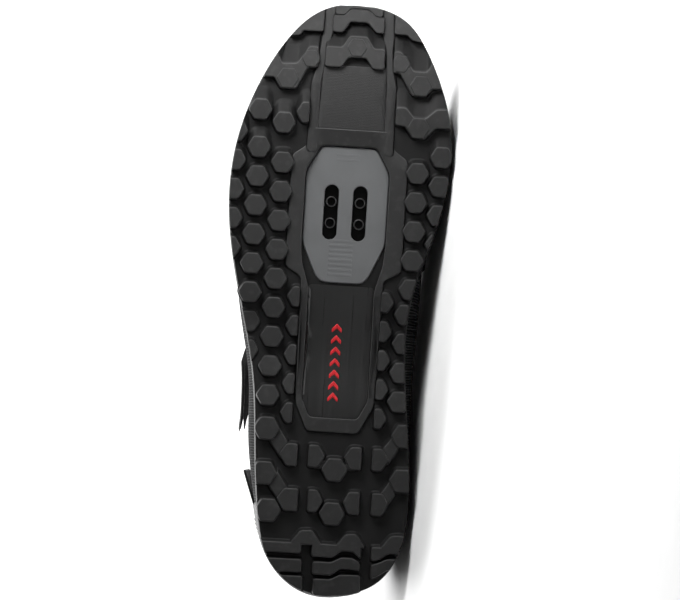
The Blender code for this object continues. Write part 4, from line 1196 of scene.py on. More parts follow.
edge_rings = [
    sole_ring(1.6 * MM, tread_base),
    sole_ring(0.9 * MM, lambda x: tread_base(x) + 0.25 * MM),
    sole_ring(SIDEWALL_BULGE + 0.05 * MM, lambda x: tread_base(x) + 0.9 * MM),
    sole_ring(SIDEWALL_BULGE, lambda x: tread_top(x) - 0.5 * MM),
    sole_ring(SIDEWALL_BULGE + 0.3 * MM, tread_top),
]
tread.rings(edge_rings)
tread.fill([edge_rings[0][:, :2], inner_rings[-1][:, :2]], lambda x, y: tread_base(x), 5 * MM)
tread.fill([edge_rings[-1][:, :2], nut_outline(1 * MM)], lambda x, y: tread_top(x), FLAT_SPACING)
channel = rounded(rows_outline(CHANNEL_ROWS), 0.5 * MM)
tread.fill([channel], lambda x, y: tread_base(x) + WINDOW_DEPTH + SEAT, 6 * MM)


def panel_share(x, y, z):
    inside = (x > PANEL_HEEL) & (x < 257 * MM) & (y > -20.4 * MM) & (y < 12.2 * MM)
    return (inside & (z < tread_base(x) - 0.9 * MM)).astype(float)


tread_mesh = plain_mesh("outsole", tread, merge=None, turn_out=False)
piece("outsole", tread_mesh, rubber, ["outsole"], crease=42, panel=panel_share)
lug_template = plain_mesh("lug_template", hex_template)
full_lugs = repeated("tread_lugs", lug_template, hex_spots, hex_leans, rubber)
piece("tread_lugs", full_lugs, rubber, crease=42)

# %% [markdown]
# ## Cleat plate, nut plate and window
# The plate is a flat outline with two slots, so it is filled and walled like the tread, and a row of
# fine ribs marks how far the cleat sits back. The bosses behind the slots are turned profiles.


# %% Cleat plate
def slot_ring(y, inset):
    half, radius = SLOT_LENGTH / 2 - SLOT_WIDTH / 2, SLOT_WIDTH / 2 - inset
    turns = np.linspace(-np.pi / 2, np.pi / 2, 13)
    ends = [(CLEAT_ALONG + half + radius * np.cos(a), y + radius * np.sin(a)) for a in turns]
    ends += [(CLEAT_ALONG - half - radius * np.cos(a), y - radius * np.sin(a)) for a in turns]
    return np.array(ends)


def flat_ring(ring, z):
    return np.column_stack([ring, np.full(len(ring), z)])


PLATE_THICKNESS = 2.4 * MM
PLATE_STEPS = [(0.8, 0.0), (0.35, 0.1), (0.08, 0.4), (0.0, 1.0), (0.0, 2.4)]
SLOT_STEPS = [(-0.55, 0.0), (-0.2, 0.1), (0.0, 0.45), (0.0, 2.4)]
slot_lines = [-CLEAT_ACROSS + side * SLOT_SPACING / 2 for side in (-1, 1)]
plate = Shape()
plate_corners = rows_outline(PLATE_ROWS)
plate_rings = []
for inset, depth in PLATE_STEPS:
    ring = rounded(plate_corners - ways_out(plate_corners) * (inset * MM), 3.2 * MM, 6)
    plate_rings.append(flat_ring(ring, plate_face + depth * MM))
plate.rings(plate_rings)
slot_tops = []
for y in slot_lines:
    rings = [flat_ring(slot_ring(y, inset * MM), plate_face + depth * MM) for inset, depth in SLOT_STEPS]
    plate.rings(rings)
    slot_tops.append(rings)
for k, depth in ((0, 0.0), (-1, PLATE_THICKNESS)):
    loops = [plate_rings[k][:, :2], *(rings[k][:, :2] for rings in slot_tops)]
    plate.fill(loops, lambda x, y, depth=depth: plate_face + depth + 0 * x)
piece("cleat_plate", plain_mesh("cleat_plate", plate), nylon, ["cleat_plate"], crease=40)

# %% Index ribs on the plate
rib = Shape()
RIB_HEIGHT = 0.09 * MM
lug(rib, np.array([(-0.45, -5.6), (0.45, -5.6), (0.45, 5.6), (-0.45, 5.6)]) * MM, height=RIB_HEIGHT, ramp=0.0,
    edge=0.03 * MM, draft=0.22 * MM, radius=0.3 * MM, line=lambda x: 0 * x)
rib_spots = [(x * MM, -5.4 * MM, plate_face) for x in np.arange(157.2, 174, 2.35)]
rib_spots += [(x * MM, -4.5 * MM, plate_face + RIB_HEIGHT / 2) for x in (213.2, 215.6)]
ribs = repeated("index_ribs", plain_mesh("rib", rib), rib_spots, [(0, 0, 0)] * len(rib_spots), nylon)
piece("index_ribs", ribs, nylon, crease=50)

# %% [markdown]
# The nut plate is a steel block with four threaded bosses that show through the slots. A real thread is
# a helix, but at this size only its ridges show, so a zigzag profile, turned round, does.


# %% Nut plate with its bosses
def turned(shape, x, y, profile, sides=28, tips=None):
    """A round solid from radius and height pairs, closed from last to first."""
    turns = np.arange(sides) * 2 * np.pi / sides
    rings = []
    for r, z in profile:
        rings.append(np.column_stack([x + r * np.cos(turns), y + r * np.sin(turns), np.full(sides, z)]))
    shape.rings(rings + rings[:1], None if tips is None else tips + tips[:1])


NUT_THICKNESS = 2.0 * MM
THREAD_PITCH = 0.8 * MM
THREAD_TURNS = 7
nut = Shape()
nut_low = float(tread_top(CLEAT_ALONG)) + GAP
nut_top = nut_low + NUT_THICKNESS
nut_rings = [flat_ring(nut_outline(inset), z) for inset, z in (
    (0.3 * MM, nut_low), (0.0, nut_low + 0.3 * MM), (0.0, nut_top - 0.3 * MM), (0.3 * MM, nut_top))]
nut.rings(nut_rings)
for ring, z in ((nut_rings[0], nut_low), (nut_rings[-1], nut_top)):
    nut.fill([ring[:, :2]], lambda x, y, z=z: z + 0 * x)
boss_low = plate_face + 1.0 * MM
for y in slot_lines:
    for side in (-1, 1):
        thread = []
        for k in range(THREAD_TURNS):
            z = boss_low + 0.5 * MM + k * THREAD_PITCH
            thread += [(2.05 * MM, z), (1.8 * MM, z + 0.4 * MM)]
        profile = [(2.6 * MM, nut_low + 0.2 * MM), (2.6 * MM, boss_low + 0.3 * MM), (2.35 * MM, boss_low),
                   (2.15 * MM, boss_low), *thread, (1.8 * MM, nut_top - 0.1 * MM)]
        shine = [0.3, 0.9, 1.0, 1.0] + [0.15] * (len(profile) - 4)
        turned(nut, CLEAT_ALONG + side * BOSS_SPACING / 2, y, profile, tips=shine)
nut_mesh = plain_mesh("cleat_nut_plate", nut)
piece("cleat_nut_plate", nut_mesh, steel, ["cleat_nut_plate"], crease=30)

# %% [markdown]
# The window is a plain sunk plate, so one outline, walled and filled on both sides, makes it. The mark
# on it is a row of arrowheads: one raised arrowhead, repeated.

# %% Window panel and its red mark
window = Shape()
window_ring = rounded(rows_outline(WINDOW_ROWS), 2.0 * MM, 4)
window_base = tread_base(window_ring[:, 0])
window_rings = []
for depth in (WINDOW_DEPTH, TREAD_THICKNESS):
    window_rings.append(np.column_stack([window_ring, window_base + depth]))
window.rings(window_rings)
window.fill([window_ring], lambda x, y: tread_base(x) + WINDOW_DEPTH, 3 * MM)
window.fill([window_ring], lambda x, y: tread_base(x) + TREAD_THICKNESS, 6 * MM)
window_mesh = plain_mesh("arch_window_panel", window)
piece("arch_window_panel", window_mesh, gloss, ["arch_window_panel"])

chevron = Shape()
lug(chevron, np.array([(-2.6, -2.3), (-0.9, -2.3), (1.6, 0.0), (-0.9, 2.3), (-2.6, 2.3), (-0.2, 0.0)]) * MM,
    height=0.35 * MM, ramp=0.0, edge=0.12 * MM, draft=0.05 * MM, radius=0.35 * MM, line=lambda x: 0 * x)
mark_spots = [(x * MM, -4.9 * MM, float(tread_base(x * MM)) + WINDOW_DEPTH) for x in np.arange(98, 134, 5.6)]
mark_leans = [(0, slope_at(p[0]), 0) for p in mark_spots]
marks = repeated("window_mark", plain_mesh("chevron", chevron), mark_spots, mark_leans, red_mark)
piece("window_mark", marks, red_mark, crease=50)

# %% [markdown]
# ## Cloth, film and foam
# The upper is a fine ribbed knit in dark heathered grey. Its pattern follows two lengths that each point of a
# cloth carries, one round the foot and one up its side, in millimetres, so the ribs keep one width and
# bend with the shape. Film, lining, webbing and foam each get their own grain in the same way.


# %% Two lengths on a surface
def cloth_lengths(grid):
    """Lengths along and up a grid of points, in millimetres."""
    run = np.linalg.norm(np.diff(grid, axis=0), axis=-1).mean(1)
    climb = np.linalg.norm(np.diff(grid, axis=1), axis=-1)
    u = np.concatenate([[0], np.cumsum(run)])[:, None] * np.ones(grid.shape[1])
    v = np.concatenate([np.zeros((len(grid), 1)), np.cumsum(climb, 1)], 1)
    return np.stack([u, v, 0 * u], -1) / MM


def wave(value, period):
    """From 0 to 1 and back over each period."""
    angle = value * (2 * math.pi / period)
    return angle.maths("SINE", angle, 0.0) * 0.5 + 0.5


def cloth_axes(finish):
    cloth = finish.attribute("cloth", "Vector")
    return cloth, *(finish.node("ShaderNodeSeparateXYZ", {}, {0: cloth}, k) for k in (0, 1))


whole_upper = upper_point(np.linspace(0, 24, 97)[:, None], np.linspace(0, 1, 9)[None, :])
print("the upper is on average", round(cloth_lengths(whole_upper)[-1, 0, 0]), "mm round")

# %% Knit of the upper
RIB_PITCH = 1.25
LOOP_PITCH = 0.85
knit = Finish("upper_knit", 0.85, Sheen_Weight=0.04, Sheen_Roughness=0.4, Specular_IOR_Level=0.12)
cloth, round_foot, up_side = cloth_axes(knit)
ribs = wave(round_foot, RIB_PITCH)
loops = wave(up_side + ribs * 0.35, LOOP_PITCH)
heather = knit.node("ShaderNodeTexNoise", {}, {"Vector": cloth, "Scale": 1.6, "Detail": 4.0})
cloudy = knit.node("ShaderNodeTexNoise", {}, {"Vector": cloth, "Scale": 0.05, "Detail": 3.0})
yarn = knit.clip(heather, 0.4, 0.66)
# The valleys between the ribs are painted near black as shade.
rib_valley_shade = knit.clip(ribs, 0.1, 0.8)
tone = knit.blend(yarn, paint(0.03, 0.02), paint(0.07, 0.02))
tone = knit.blend(rib_valley_shade, paint(0.004), tone)
knit.feed("Base Color", knit.blend(cloudy * 0.15, tone, paint(0.03)))
knit.feed("Roughness", 0.78 + heather * 0.2)
knit.bump(ribs * 0.75 + loops * ribs * 0.35 + heather * 0.15, 0.0006, 1.0)
tell(knit)

# %% Film of the overlays, foam of the midsole
film = Finish("overlay_film", 0.45, Specular_IOR_Level=0.35)
hide = film.node("ShaderNodeTexVoronoi", {"feature": "DISTANCE_TO_EDGE"},
                 {"Vector": film.attribute("shoe", "Vector"), "Scale": 1500.0})
worn = film.noise(70, 4.0)
film.feed("Base Color", film.blend(worn, paint(0.014), paint(0.026)))
film.feed("Roughness", 0.4 + worn * 0.22)
film.bump(film.clip(hide, 0.0, 0.18), 0.00007, 0.8)

foam = Finish("midsole_foam", 0.6, Specular_IOR_Level=0.3)
pebble = foam.noise(1300, 3.0)
dust = foam.noise(45, 5.0)
foam.feed("Base Color", foam.blend(foam.clip(dust, 0.45, 0.75), paint(0.014), paint(0.028)))
foam.feed("Roughness", 0.55 + dust * 0.22)
foam.bump(foam.clip(pebble, 0.4, 0.6), 0.00012, 0.7)
tell(film, foam)

# %% Lining, webbing and thread
lining = Finish("lining_cloth", 0.95, Sheen_Weight=0.2, Specular_IOR_Level=0.15)
cloth, round_foot, up_side = cloth_axes(lining)
holes = wave(round_foot, 1.5) * wave(up_side, 1.5)
fluff = lining.node("ShaderNodeTexNoise", {}, {"Vector": cloth, "Scale": 2.2, "Detail": 3.0})
lining.feed("Base Color", lining.blend(holes, paint(0.045), paint(0.015)))
lining.feed("Roughness", 0.85 + fluff * 0.14)
lining.bump(fluff * 0.3 - holes, 0.0003, 0.8)

webbing = Finish("strap_webbing", 0.75, Sheen_Weight=0.1, Specular_IOR_Level=0.25)
cloth, round_foot, up_side = cloth_axes(webbing)
over_yarn = wave(round_foot + up_side, 1.1)
under_yarn = wave(round_foot - up_side, 1.1)
tangle = webbing.node("ShaderNodeTexNoise", {}, {"Vector": cloth, "Scale": 1.3, "Detail": 4.0})
webbing.feed("Base Color", webbing.blend(over_yarn * under_yarn, paint(0.01), paint(0.03)))
webbing.feed("Roughness", 0.62 + tangle * 0.3)
webbing.bump(over_yarn.maths("MAXIMUM", over_yarn, under_yarn) + tangle * 0.2, 0.0002, 0.8)

thread = Finish("stitch_thread", 0.7, Sheen_Weight=0.1)
twist = thread.noise(2600, 2.0)
thread.feed("Base Color", thread.blend(twist, paint(0.03), paint(0.075)))
thread.feed("Roughness", 0.6 + twist * 0.25)
thread.bump(twist, 0.00005, 0.6)
tell(lining, webbing, thread)

# %% [markdown]
# ## Midsole
# The foam under the foot is a stack of rings of the sole's outline. It swells a little at half height,
# takes a groove under its top edge, and has a hollow underneath for the nut plate.

# %% Midsole
HOLLOW_DEPTH = 2.8 * MM
foot_stack = Shape()
MIDSOLE_PROFILE = [(0.0, 1.0), (0.04, 0.66), (0.12, 0.3), (0.3, 0.05), (0.45, 0.05), (0.6, 0.3), (0.7, 0.62),
                   (0.74, 1.0), (0.78, 1.05), (0.82, 0.62), (0.88, 0.52), (0.96, 0.6), (1.0, 0.95)]


def foam_floor(x):
    return tread_top(x) + SEAT


def foam_height(share):
    return lambda x: foam_floor(x) + share * (feather_height(x) - foam_floor(x))


stack = []
for share, inset in MIDSOLE_PROFILE:
    stack.append(sole_ring(inset * MM, foam_height(share)))
foot_stack.rings(stack, list(np.linspace(0, 1, len(stack))))
hollow = nut_outline(-GAP)
foot_stack.fill([stack[0][:, :2], hollow], lambda x, y: foam_floor(x), FLAT_SPACING)
hollow_rings = [np.column_stack([hollow, tread_top(hollow[:, 0]) + depth]) for depth in (SEAT, HOLLOW_DEPTH)]
foot_stack.rings(hollow_rings)
foot_stack.fill([hollow], lambda x, y: tread_top(x) + HOLLOW_DEPTH, FLAT_SPACING)
foot_stack.fill([stack[-1][:, :2]], lambda x, y: feather_height(x), FLAT_SPACING)
piece("midsole", plain_mesh("midsole", foot_stack), foam, ["midsole"], crease=50)

# %% [markdown]
# ## Soft shells
# Every layer of the upper is one idea: a patch of the foot's surface, lifted a little, with an edge that
# rounds down to what it lies on. The helper takes the patch's borders, works out both skins at once and
# closes them along the rim.


# %% Shells over the foot
def skin_shell(shape, outer, inner):
    """Two grids of points joined round their borders."""
    rows, width = outer.shape[:2]
    firsts = []
    for grid in (outer, inner):
        firsts.append(shape.put(grid.reshape(-1, 3), 0.0, cloth_lengths(grid).reshape(-1, 3)))
    for first, order in zip(firsts, (1, -1)):
        for i in range(rows - 1):
            for j in range(width - 1):
                a = first + i * width + j
                shape.faces.append((a, a + width, a + width + 1, a + 1)[::order])
    rim = [(i, 0) for i in range(rows)] + [(rows - 1, j) for j in range(1, width)]
    rim += [(i, width - 1) for i in range(rows - 2, -1, -1)] + [(0, j) for j in range(width - 2, 0, -1)]
    for (i, j), (k, m) in zip(rim, rim[1:] + rim[:1]):
        a, b = i * width + j, k * width + m
        shape.faces.append((firsts[0] + a, firsts[0] + b, firsts[1] + b, firsts[1] + a))


def rim_share(grid, rim):
    """1 over the patch, falling in a round to 0 at its borders."""
    u, v = np.moveaxis(cloth_lengths(grid)[..., :2], -1, 0)
    inward = np.minimum(np.minimum(v, v[:, -1:] - v), np.minimum(u, u.max() - u))
    e = np.clip(inward * MM / rim, 0, 1)
    return np.sqrt(1 - (1 - e) ** 2)


def patch(over, sections, low_rise, top_rise, steps, base, thickness, rim):
    """A closed shell over part of a surface, with a rounded rim."""
    sections = np.asarray(sections)
    low = np.broadcast_to(low_rise, len(sections))[:, None]
    top = np.broadcast_to(top_rise, len(sections))[:, None]
    rises = low + (top - low) * np.linspace(0, 1, steps + 1)
    a = sections[:, None] + 0 * rises
    flat = over(a, rises, base)
    shape = Shape()
    skin_shell(shape, over(a, rises, base + thickness * rim_share(flat, rim)), flat)
    return shape


small_patch = patch(over_upper, np.linspace(5, 7, 5), 0.2, 0.4, 4, 0.0, 1 * MM, 1 * MM)
print("a patch of 4 by 4 cells:", len(small_patch.faces), "faces")

# %% Seams
STITCH_PITCH = 2.7 * MM
THREAD_SIDES = 6


def seam(name, path, normals, finish):
    """Stitches along a path, each laid along it and standing on its normal."""
    path, normals = np.asarray(path), unit(np.asarray(normals))
    lengths = np.concatenate([[0], np.cumsum(np.linalg.norm(np.diff(path, axis=0), axis=-1))])
    places = np.arange(STITCH_PITCH / 2, lengths[-1], STITCH_PITCH)

    def read(values, shift=0.0):
        return np.stack([np.interp(places + shift, lengths, values[:, k]) for k in range(3)], -1)

    leans = []
    for run, up in zip(unit(read(path, 0.3 * MM) - read(path, -0.3 * MM)), unit(read(normals))):
        side = unit(np.cross(up, run))
        axes = Matrix((tuple(np.cross(side, up)), tuple(side), tuple(up))).transposed()
        leans.append(tuple(axes.to_euler()))
    mesh = repeated(name, STITCH, read(path), leans, finish)
    return piece(name, mesh, finish, crease=80, weighted=False)


stitch_shape = Shape()
around_thread = np.arange(THREAD_SIDES) * 2 * np.pi / THREAD_SIDES
stitch_rings = []
for x, radius in ((-1.0, 0.08), (-0.85, 0.2), (-0.3, 0.25), (0.3, 0.25), (0.85, 0.2), (1.0, 0.08)):
    height = 0.16 - 0.12 * x * x + radius * np.sin(around_thread)
    ring = np.column_stack([np.full(THREAD_SIDES, x), radius * np.cos(around_thread), height])
    stitch_rings.append(ring * MM)
stitch_shape.rings(stitch_rings)
last = (len(stitch_rings) - 1) * THREAD_SIDES
stitch_shape.faces += [tuple(range(THREAD_SIDES)), tuple(range(last, last + THREAD_SIDES))]
STITCH = plain_mesh("stitch", stitch_shape)


def surface_seam(name, sections, rises, distance):
    """Stitches in a row over the upper."""
    rises = rises + 0 * sections
    path = over_upper(sections, rises, distance)
    return seam(name, path, over_upper(sections, rises, distance + 1 * MM) - path, thread)


print("one stitch:", len(STITCH.polygons), "faces, every", round(STITCH_PITCH / MM, 1), "mm")

# %% [markdown]
# ## Upper
# The knit is one sheet round the foot, with its edge turned at the collar. Where the ball of the foot
# bends, shallow creases cross the vamp, and the sides draw in a little between the points where they
# are held. A cloth simulation could find such folds, but it would also move the edges that the sole and
# the overlays meet, so they are drawn as waves. A thin lining follows the knit inside.


# %% Knit shell and lining
def creases(points):
    """How far the knit stands off its plain form, over a grid of standing points."""
    x, y, z = np.moveaxis(points, -1, 0)
    over_vamp = smooth((z - 36 * MM) / (18 * MM))
    folds = 0.0
    for middle, slant, depth in ((0.655, 0.10, 0.5), (0.70, -0.06, 0.4), (0.745, 0.05, 0.3)):
        away = (x - middle * LENGTH - slant * y) / (2.6 * MM)
        folds = folds - depth * MM * np.exp(-away**2)
    along_foot = np.sin(x / (11 * MM) + 2.2 * np.sin(z / (17 * MM)))
    soft = 0.35 * MM * along_foot * np.sin(z / (9 * MM) + x / (40 * MM))
    return folds * over_vamp + soft * smooth((z - 32 * MM) / (10 * MM)) * smooth((88 * MM - z) / (12 * MM))


def knit_face(section, rise, distance):
    plain = upper_point(section, rise)
    return stand_off(upper_point, section, rise, distance + np.minimum(creases(plain), 0.12 * MM))


KNIT_THICKNESS = 1.4 * MM
LINING_OUT, LINING_IN = 1.45 * MM, 2.0 * MM
ROUND, UP = 432, 84
foot_sections = np.linspace(0.0, 24.0, ROUND + 1)[:, None]
foot_rises = np.linspace(0.0, 1.0, UP + 1)[None, :]
outer_knit = knit_face(foot_sections, foot_rises, 0.0)
inner_knit = knit_face(foot_sections, foot_rises, -KNIT_THICKNESS)
turned_edge = knit_face(foot_sections, 1.0 + 0 * foot_rises[:, :1], -KNIT_THICKNESS / 2)
turned_edge = turned_edge + unit(outer_knit[:, -1:] - outer_knit[:, -3:-2]) * 0.6 * MM
knit_shape = Shape()
skin_shell(knit_shape, *(np.concatenate([face, turned_edge], 1) for face in (outer_knit, inner_knit)))
soft_piece("upper", knit_shape, knit, ["upper"], crease=70)

lining_shape = Shape()
lining_sections, lining_rises = foot_sections[::3], np.linspace(0.03, 0.985, 40)[None, :]
skin_shell(lining_shape, knit_face(lining_sections, lining_rises, -LINING_OUT),
           knit_face(lining_sections, lining_rises, -LINING_IN))
soft_piece("upper_lining", lining_shape, lining, crease=70)

# %% [markdown]
# The collar is padded: a soft roll over the edge that thickens inside the ankle and fades out towards
# the throat. It is drawn as a loop of points round the edge at each section, fuller at the sides of the
# ankle than at the heel.

# %% Padded collar
COLLAR_END = 6.1
COLLAR_LOOP = [
    (0.93, 0.2, 0), (0.955, 0.75, 0), (0.98, 1.0, 0.1), (1.0, 0.9, 0.9), (1.0, 0.1, 1.7), (1.0, -1.2, 2.0),
    (1.0, -2.6, 1.7), (0.985, -3.8, 0.9), (0.95, -4.8, 0.2), (0.9, -5.3, 0), (0.84, -5.2, 0),
    (0.77, -4.5, 0), (0.7, -3.5, 0), (0.66, -2.9, 0), (0.645, -2.4, 0), (0.64, -1.7, 0),
]
collar_sections = np.linspace(-COLLAR_END, COLLAR_END, 145)
fade = smooth((COLLAR_END - np.abs(collar_sections)) / 1.5)
edge_run = unit(upper_point(collar_sections, 1.0) - upper_point(collar_sections, 0.97))
collar_rows = []
for rise, distance, lift in COLLAR_LOOP:
    depth = distance * (0.35 + 0.65 * fade) if distance < 0 else distance
    spots = over_upper(collar_sections, rise, np.broadcast_to(depth, len(fade)) * MM)
    collar_rows.append(spots + edge_run * lift * MM * (0.4 + 0.6 * fade)[:, None])
collar_grid = np.stack(collar_rows, 1)
collar_shape = Shape()
lengths = cloth_lengths(collar_grid)
first = collar_shape.put(collar_grid.reshape(-1, 3), 0.0, lengths.reshape(-1, 3))
rows, width = collar_grid.shape[:2]
for i in range(rows - 1):
    for j in range(width):
        k = (j + 1) % width
        collar_shape.faces.append((first + i * width + j, first + (i + 1) * width + j,
                                   first + (i + 1) * width + k, first + i * width + k))
collar_shape.faces += [tuple(range(width)), tuple(range((rows - 1) * width, rows * width))]
collar = soft_piece("collar_pad", collar_shape, lining, crease=80)
surface_seam("collar_stitches", np.linspace(-5.9, 5.9, 200), 0.915, 0.25 * MM)

# %% [markdown]
# ## Overlays
# Film panels guard the toe and the heel, a strip covers the back seam, and a U-shaped stay carries the
# eyelets. Each could be solidified from a cut-out of the upper, but a patch of the foot's own surface
# follows it exactly. They are 0.5 to 1.2 mm thick with a rounded rim.


# %% Toe cap, heel counter and back strip
PANEL_THICKNESS = 1.2 * MM
PANEL_GAP = 0.06 * MM


def cap_height(t):
    return 0.16 + 0.26 * smooth(np.sin(np.pi * t) * 1.4)


def counter_height(t):
    return 0.22 + 0.3 * smooth(np.sin(np.pi * t) * 1.3)


t = np.linspace(0, 1, 121)
toe_sections, heel_sections = 9.0 + 6.0 * t, -3.0 + 6.0 * t
for name, sections, heights in (
    ("toe_cap", toe_sections, cap_height(t)), ("heel_counter", heel_sections, counter_height(t)),
):
    panel = patch(over_upper, sections, 0.03, heights, 26, PANEL_GAP, PANEL_THICKNESS, 1.0 * MM)
    soft_piece(name, panel, film, [name])
strip_sections = np.linspace(-0.62, 0.62, 25)
back_strip = patch(over_upper, strip_sections, 0.45, 0.93, 40, 0.04 * MM, 0.6 * MM, 0.7 * MM)
soft_piece("back_strip", back_strip, film)
surface_seam("toe_stitches", toe_sections[6:-6], cap_height(t)[6:-6] - 0.03, PANEL_THICKNESS)
surface_seam("heel_stitches", heel_sections[6:-6], counter_height(t)[6:-6] - 0.03, PANEL_THICKNESS)

# %% Eyelet stay
STAY_THICKNESS = 0.5 * MM
stay_sections = np.linspace(6.35, 17.65, 241)
stay_low = 0.80 + 0.05 * smooth(1 - np.abs(stay_sections - 12) / 2.0)
stay = patch(over_upper, stay_sections, stay_low, 0.985, 14, 0.03 * MM, STAY_THICKNESS, 0.6 * MM)
soft_piece("eyelet_stay", stay, film)
surface_seam("stay_stitches", stay_sections[4:-4], stay_low[4:-4] + 0.018, STAY_THICKNESS)
surface_seam("throat_stitches", stay_sections[4:-4], 0.968, STAY_THICKNESS)

# %% [markdown]
# ## Tongue and insole
# The tongue is a padded plate under the throat. Its grid is the model's, made finer, and its skins part
# by a puffed amount that sinks along sewn channels. It reads as soft because its rim is round and
# its panels are crowned.

# %% Padded tongue
TONGUE_GAP = WALL + 3 * GAP
TONGUE_THICKNESS = 3.2 * MM
CHANNEL_PITCH = 21
tongue_sections = np.linspace(6.0, 10.1, 42)
half_widths = 0.27 + 0.16 * smooth((tongue_sections - 6.0) / 1.2)
cross_shares = np.linspace(1, -1, 29)
grid_sections = tongue_sections[:, None] + 0 * cross_shares[None, :]
grid_places = half_widths[:, None] * cross_shares[None, :]


def tongue_layer(depth):
    grid = over_girth(grid_sections, grid_places, -depth)
    first = grid[0]
    middle = first.mean(0)
    rising = unit(np.array([-0.5, 0, 1.0]))
    above = []
    for step in np.linspace(1, 0.1, 10):
        row = first + rising * 15 * MM * step
        row[:, 1] = middle[1] + (first[:, 1] - middle[1]) * (1 - 0.2 * step)
        above.append(row)
    run = unit((grid[-1] - grid[-4]).mean(0)) + np.array([0, 0, -0.3])
    below = [grid[-1] + run * 10 * MM * step for step in np.linspace(0.2, 1, 5)]
    return np.concatenate([above, grid, below])


upper_side, under_side = tongue_layer(TONGUE_GAP), tongue_layer(TONGUE_GAP + TONGUE_THICKNESS)
share = rim_share(upper_side, 1.6 * MM)
across_share = np.abs(cross_shares)[None, :]
climb = cloth_lengths(upper_side)[..., 0]
channels = np.exp(-((np.mod(climb, CHANNEL_PITCH) - CHANNEL_PITCH / 2) / 0.9) ** 2)
channels = channels * smooth((0.8 - across_share) / 0.1)
piping = np.exp(-((across_share - 0.82) / 0.03) ** 2)
puff = 0.5 * (1 - across_share**2) - 0.32 * channels - 0.22 * piping
middle_face = (upper_side + under_side) / 2
half = (upper_side - under_side) / 2
top_face = middle_face + half * (share * (0.75 + 0.5 * puff))[..., None]
low_face = middle_face - half * (share * 0.9)[..., None]
tongue_shape = Shape()
skin_shell(tongue_shape, top_face, low_face)
tongue = soft_piece("tongue", tongue_shape, lining, ["tongue"], crease=80)

# %% [markdown]
# The insole is a thin foam bed with a raised rim, covered in the lining's cloth. Rings of the sole's
# outline give it both, where a flattened block would need its rim pulled up by hand.

# %% Insole
INSOLE_INSET = FEATHER_INSET + WALL + 2 * GAP
INSOLE_CUP = [(0.0, 0.2), (-0.2, 3.0), (0.4, 4.6), (1.6, 4.3), (4.0, 3.6), (9.0, 3.4)]


def insole_height(rise):
    return lambda x, y=0: feather_height(x) + GAP + rise * MM


insole = Shape()
insole_rings = [sole_ring(INSOLE_INSET + inset * MM, insole_height(rise)) for inset, rise in INSOLE_CUP]
insole.rings(insole_rings)
insole.fill([insole_rings[0][:, :2]], insole_height(INSOLE_CUP[0][1]), FLAT_SPACING)
insole.fill([insole_rings[-1][:, :2]], insole_height(INSOLE_CUP[-1][1]), 6 * MM)
insole.cloths = [(x / MM, y / MM, 0) for x, y, z in insole.points]
piece("insole", plain_mesh("insole", insole), lining, ["insole"], crease=60)

# %% [markdown]
# ## Eyelets and laces
# Each eyelet is a turned ring pressed into the stay. A lace run leaves one eyelet from below, bends over
# its rim, crosses the tongue in a low arch and dives into the eyelet opposite. Of two crossing runs, one
# passes over the other.


# %% Eyelets
def throat_section(percent):
    low, top = 6.0, 11.0
    for _ in range(30):
        middle = (low + top) / 2
        low, top = (middle, top) if TOP_ALONG(middle) < percent else (low, middle)
    return (low + top) / 2


EYELET_RISE = 0.93
EYELET_ROWS = [throat_section(percent) for percent in np.linspace(70.3, 59.2, 4)]
EYELET_PROFILE = [
    (4.0, 0.05), (4.0, 0.3), (3.85, 0.5), (3.3, 0.78), (2.8, 0.85), (2.4, 0.75), (2.2, 0.5), (2.2, -1.2),
    (2.5, -1.2), (2.6, 0.0),
]
ring_shape = Shape()
ring_profile = [(r * MM, z * MM) for r, z in EYELET_PROFILE]
turned(ring_shape, 0, 0, ring_profile, sides=32, tips=[0.7] * len(EYELET_PROFILE))
ring_spots, ring_leans = [], []
for row in EYELET_ROWS:
    for section in (row, 24 - row):
        base = over_upper(section, EYELET_RISE, 0.3 * MM)
        up = Vector(unit(over_upper(section, EYELET_RISE, 1.3 * MM) - base))
        ring_spots.append(tuple(base))
        ring_leans.append(tuple(up.to_track_quat("Z", "Y").to_euler()))
rings = repeated("eyelets", plain_mesh("eyelet", ring_shape), ring_spots, ring_leans, steel)
eyelet_nodes = [f"eyelet_{side}_{i}" for side in ("lateral", "medial") for i in range(1, 5)]
piece("eyelets", rings, steel, eyelet_nodes, crease=50)


# %% A flat cord and the way of a lace
LACE_WIDTH = 3.4 * MM
LACE_THICKNESS = 1.7 * MM
LACE_SIDES = 14


def cord_shell(shape, path):
    """A flattened cord along a path, its flat side towards the foot's outside."""
    path = np.asarray(path)
    run = unit(np.gradient(path, axis=0))
    outward = unit(path - np.array([path[:, 0].mean() - 30 * MM, 0, 20 * MM]))
    side = unit(np.cross(run, outward))
    up = np.cross(side, run)
    lengths = np.concatenate([[0], np.cumsum(np.linalg.norm(np.diff(path, axis=0), axis=-1))]) / MM
    turns = np.arange(LACE_SIDES) * 2 * np.pi / LACE_SIDES
    rings, cloths = [], []
    for p, s, u, length in zip(path, side, up, lengths):
        rings.append([p + s * LACE_WIDTH / 2 * np.cos(a) + u * LACE_THICKNESS / 2 * np.sin(a) for a in turns])
        cloths += [(length, k * 5.5 / LACE_SIDES, 0) for k in range(LACE_SIDES)]
    first = shape.put(np.array(rings).reshape(-1, 3), 0.0, cloths)
    for i in range(len(path) - 1):
        for k in range(LACE_SIDES):
            m = (k + 1) % LACE_SIDES
            a, b = first + i * LACE_SIDES, first + (i + 1) * LACE_SIDES
            shape.faces.append((a + k, a + m, b + m, b + k))
    for end in (first, first + (len(path) - 1) * LACE_SIDES):
        shape.faces.append(tuple(end + k for k in range(LACE_SIDES)))


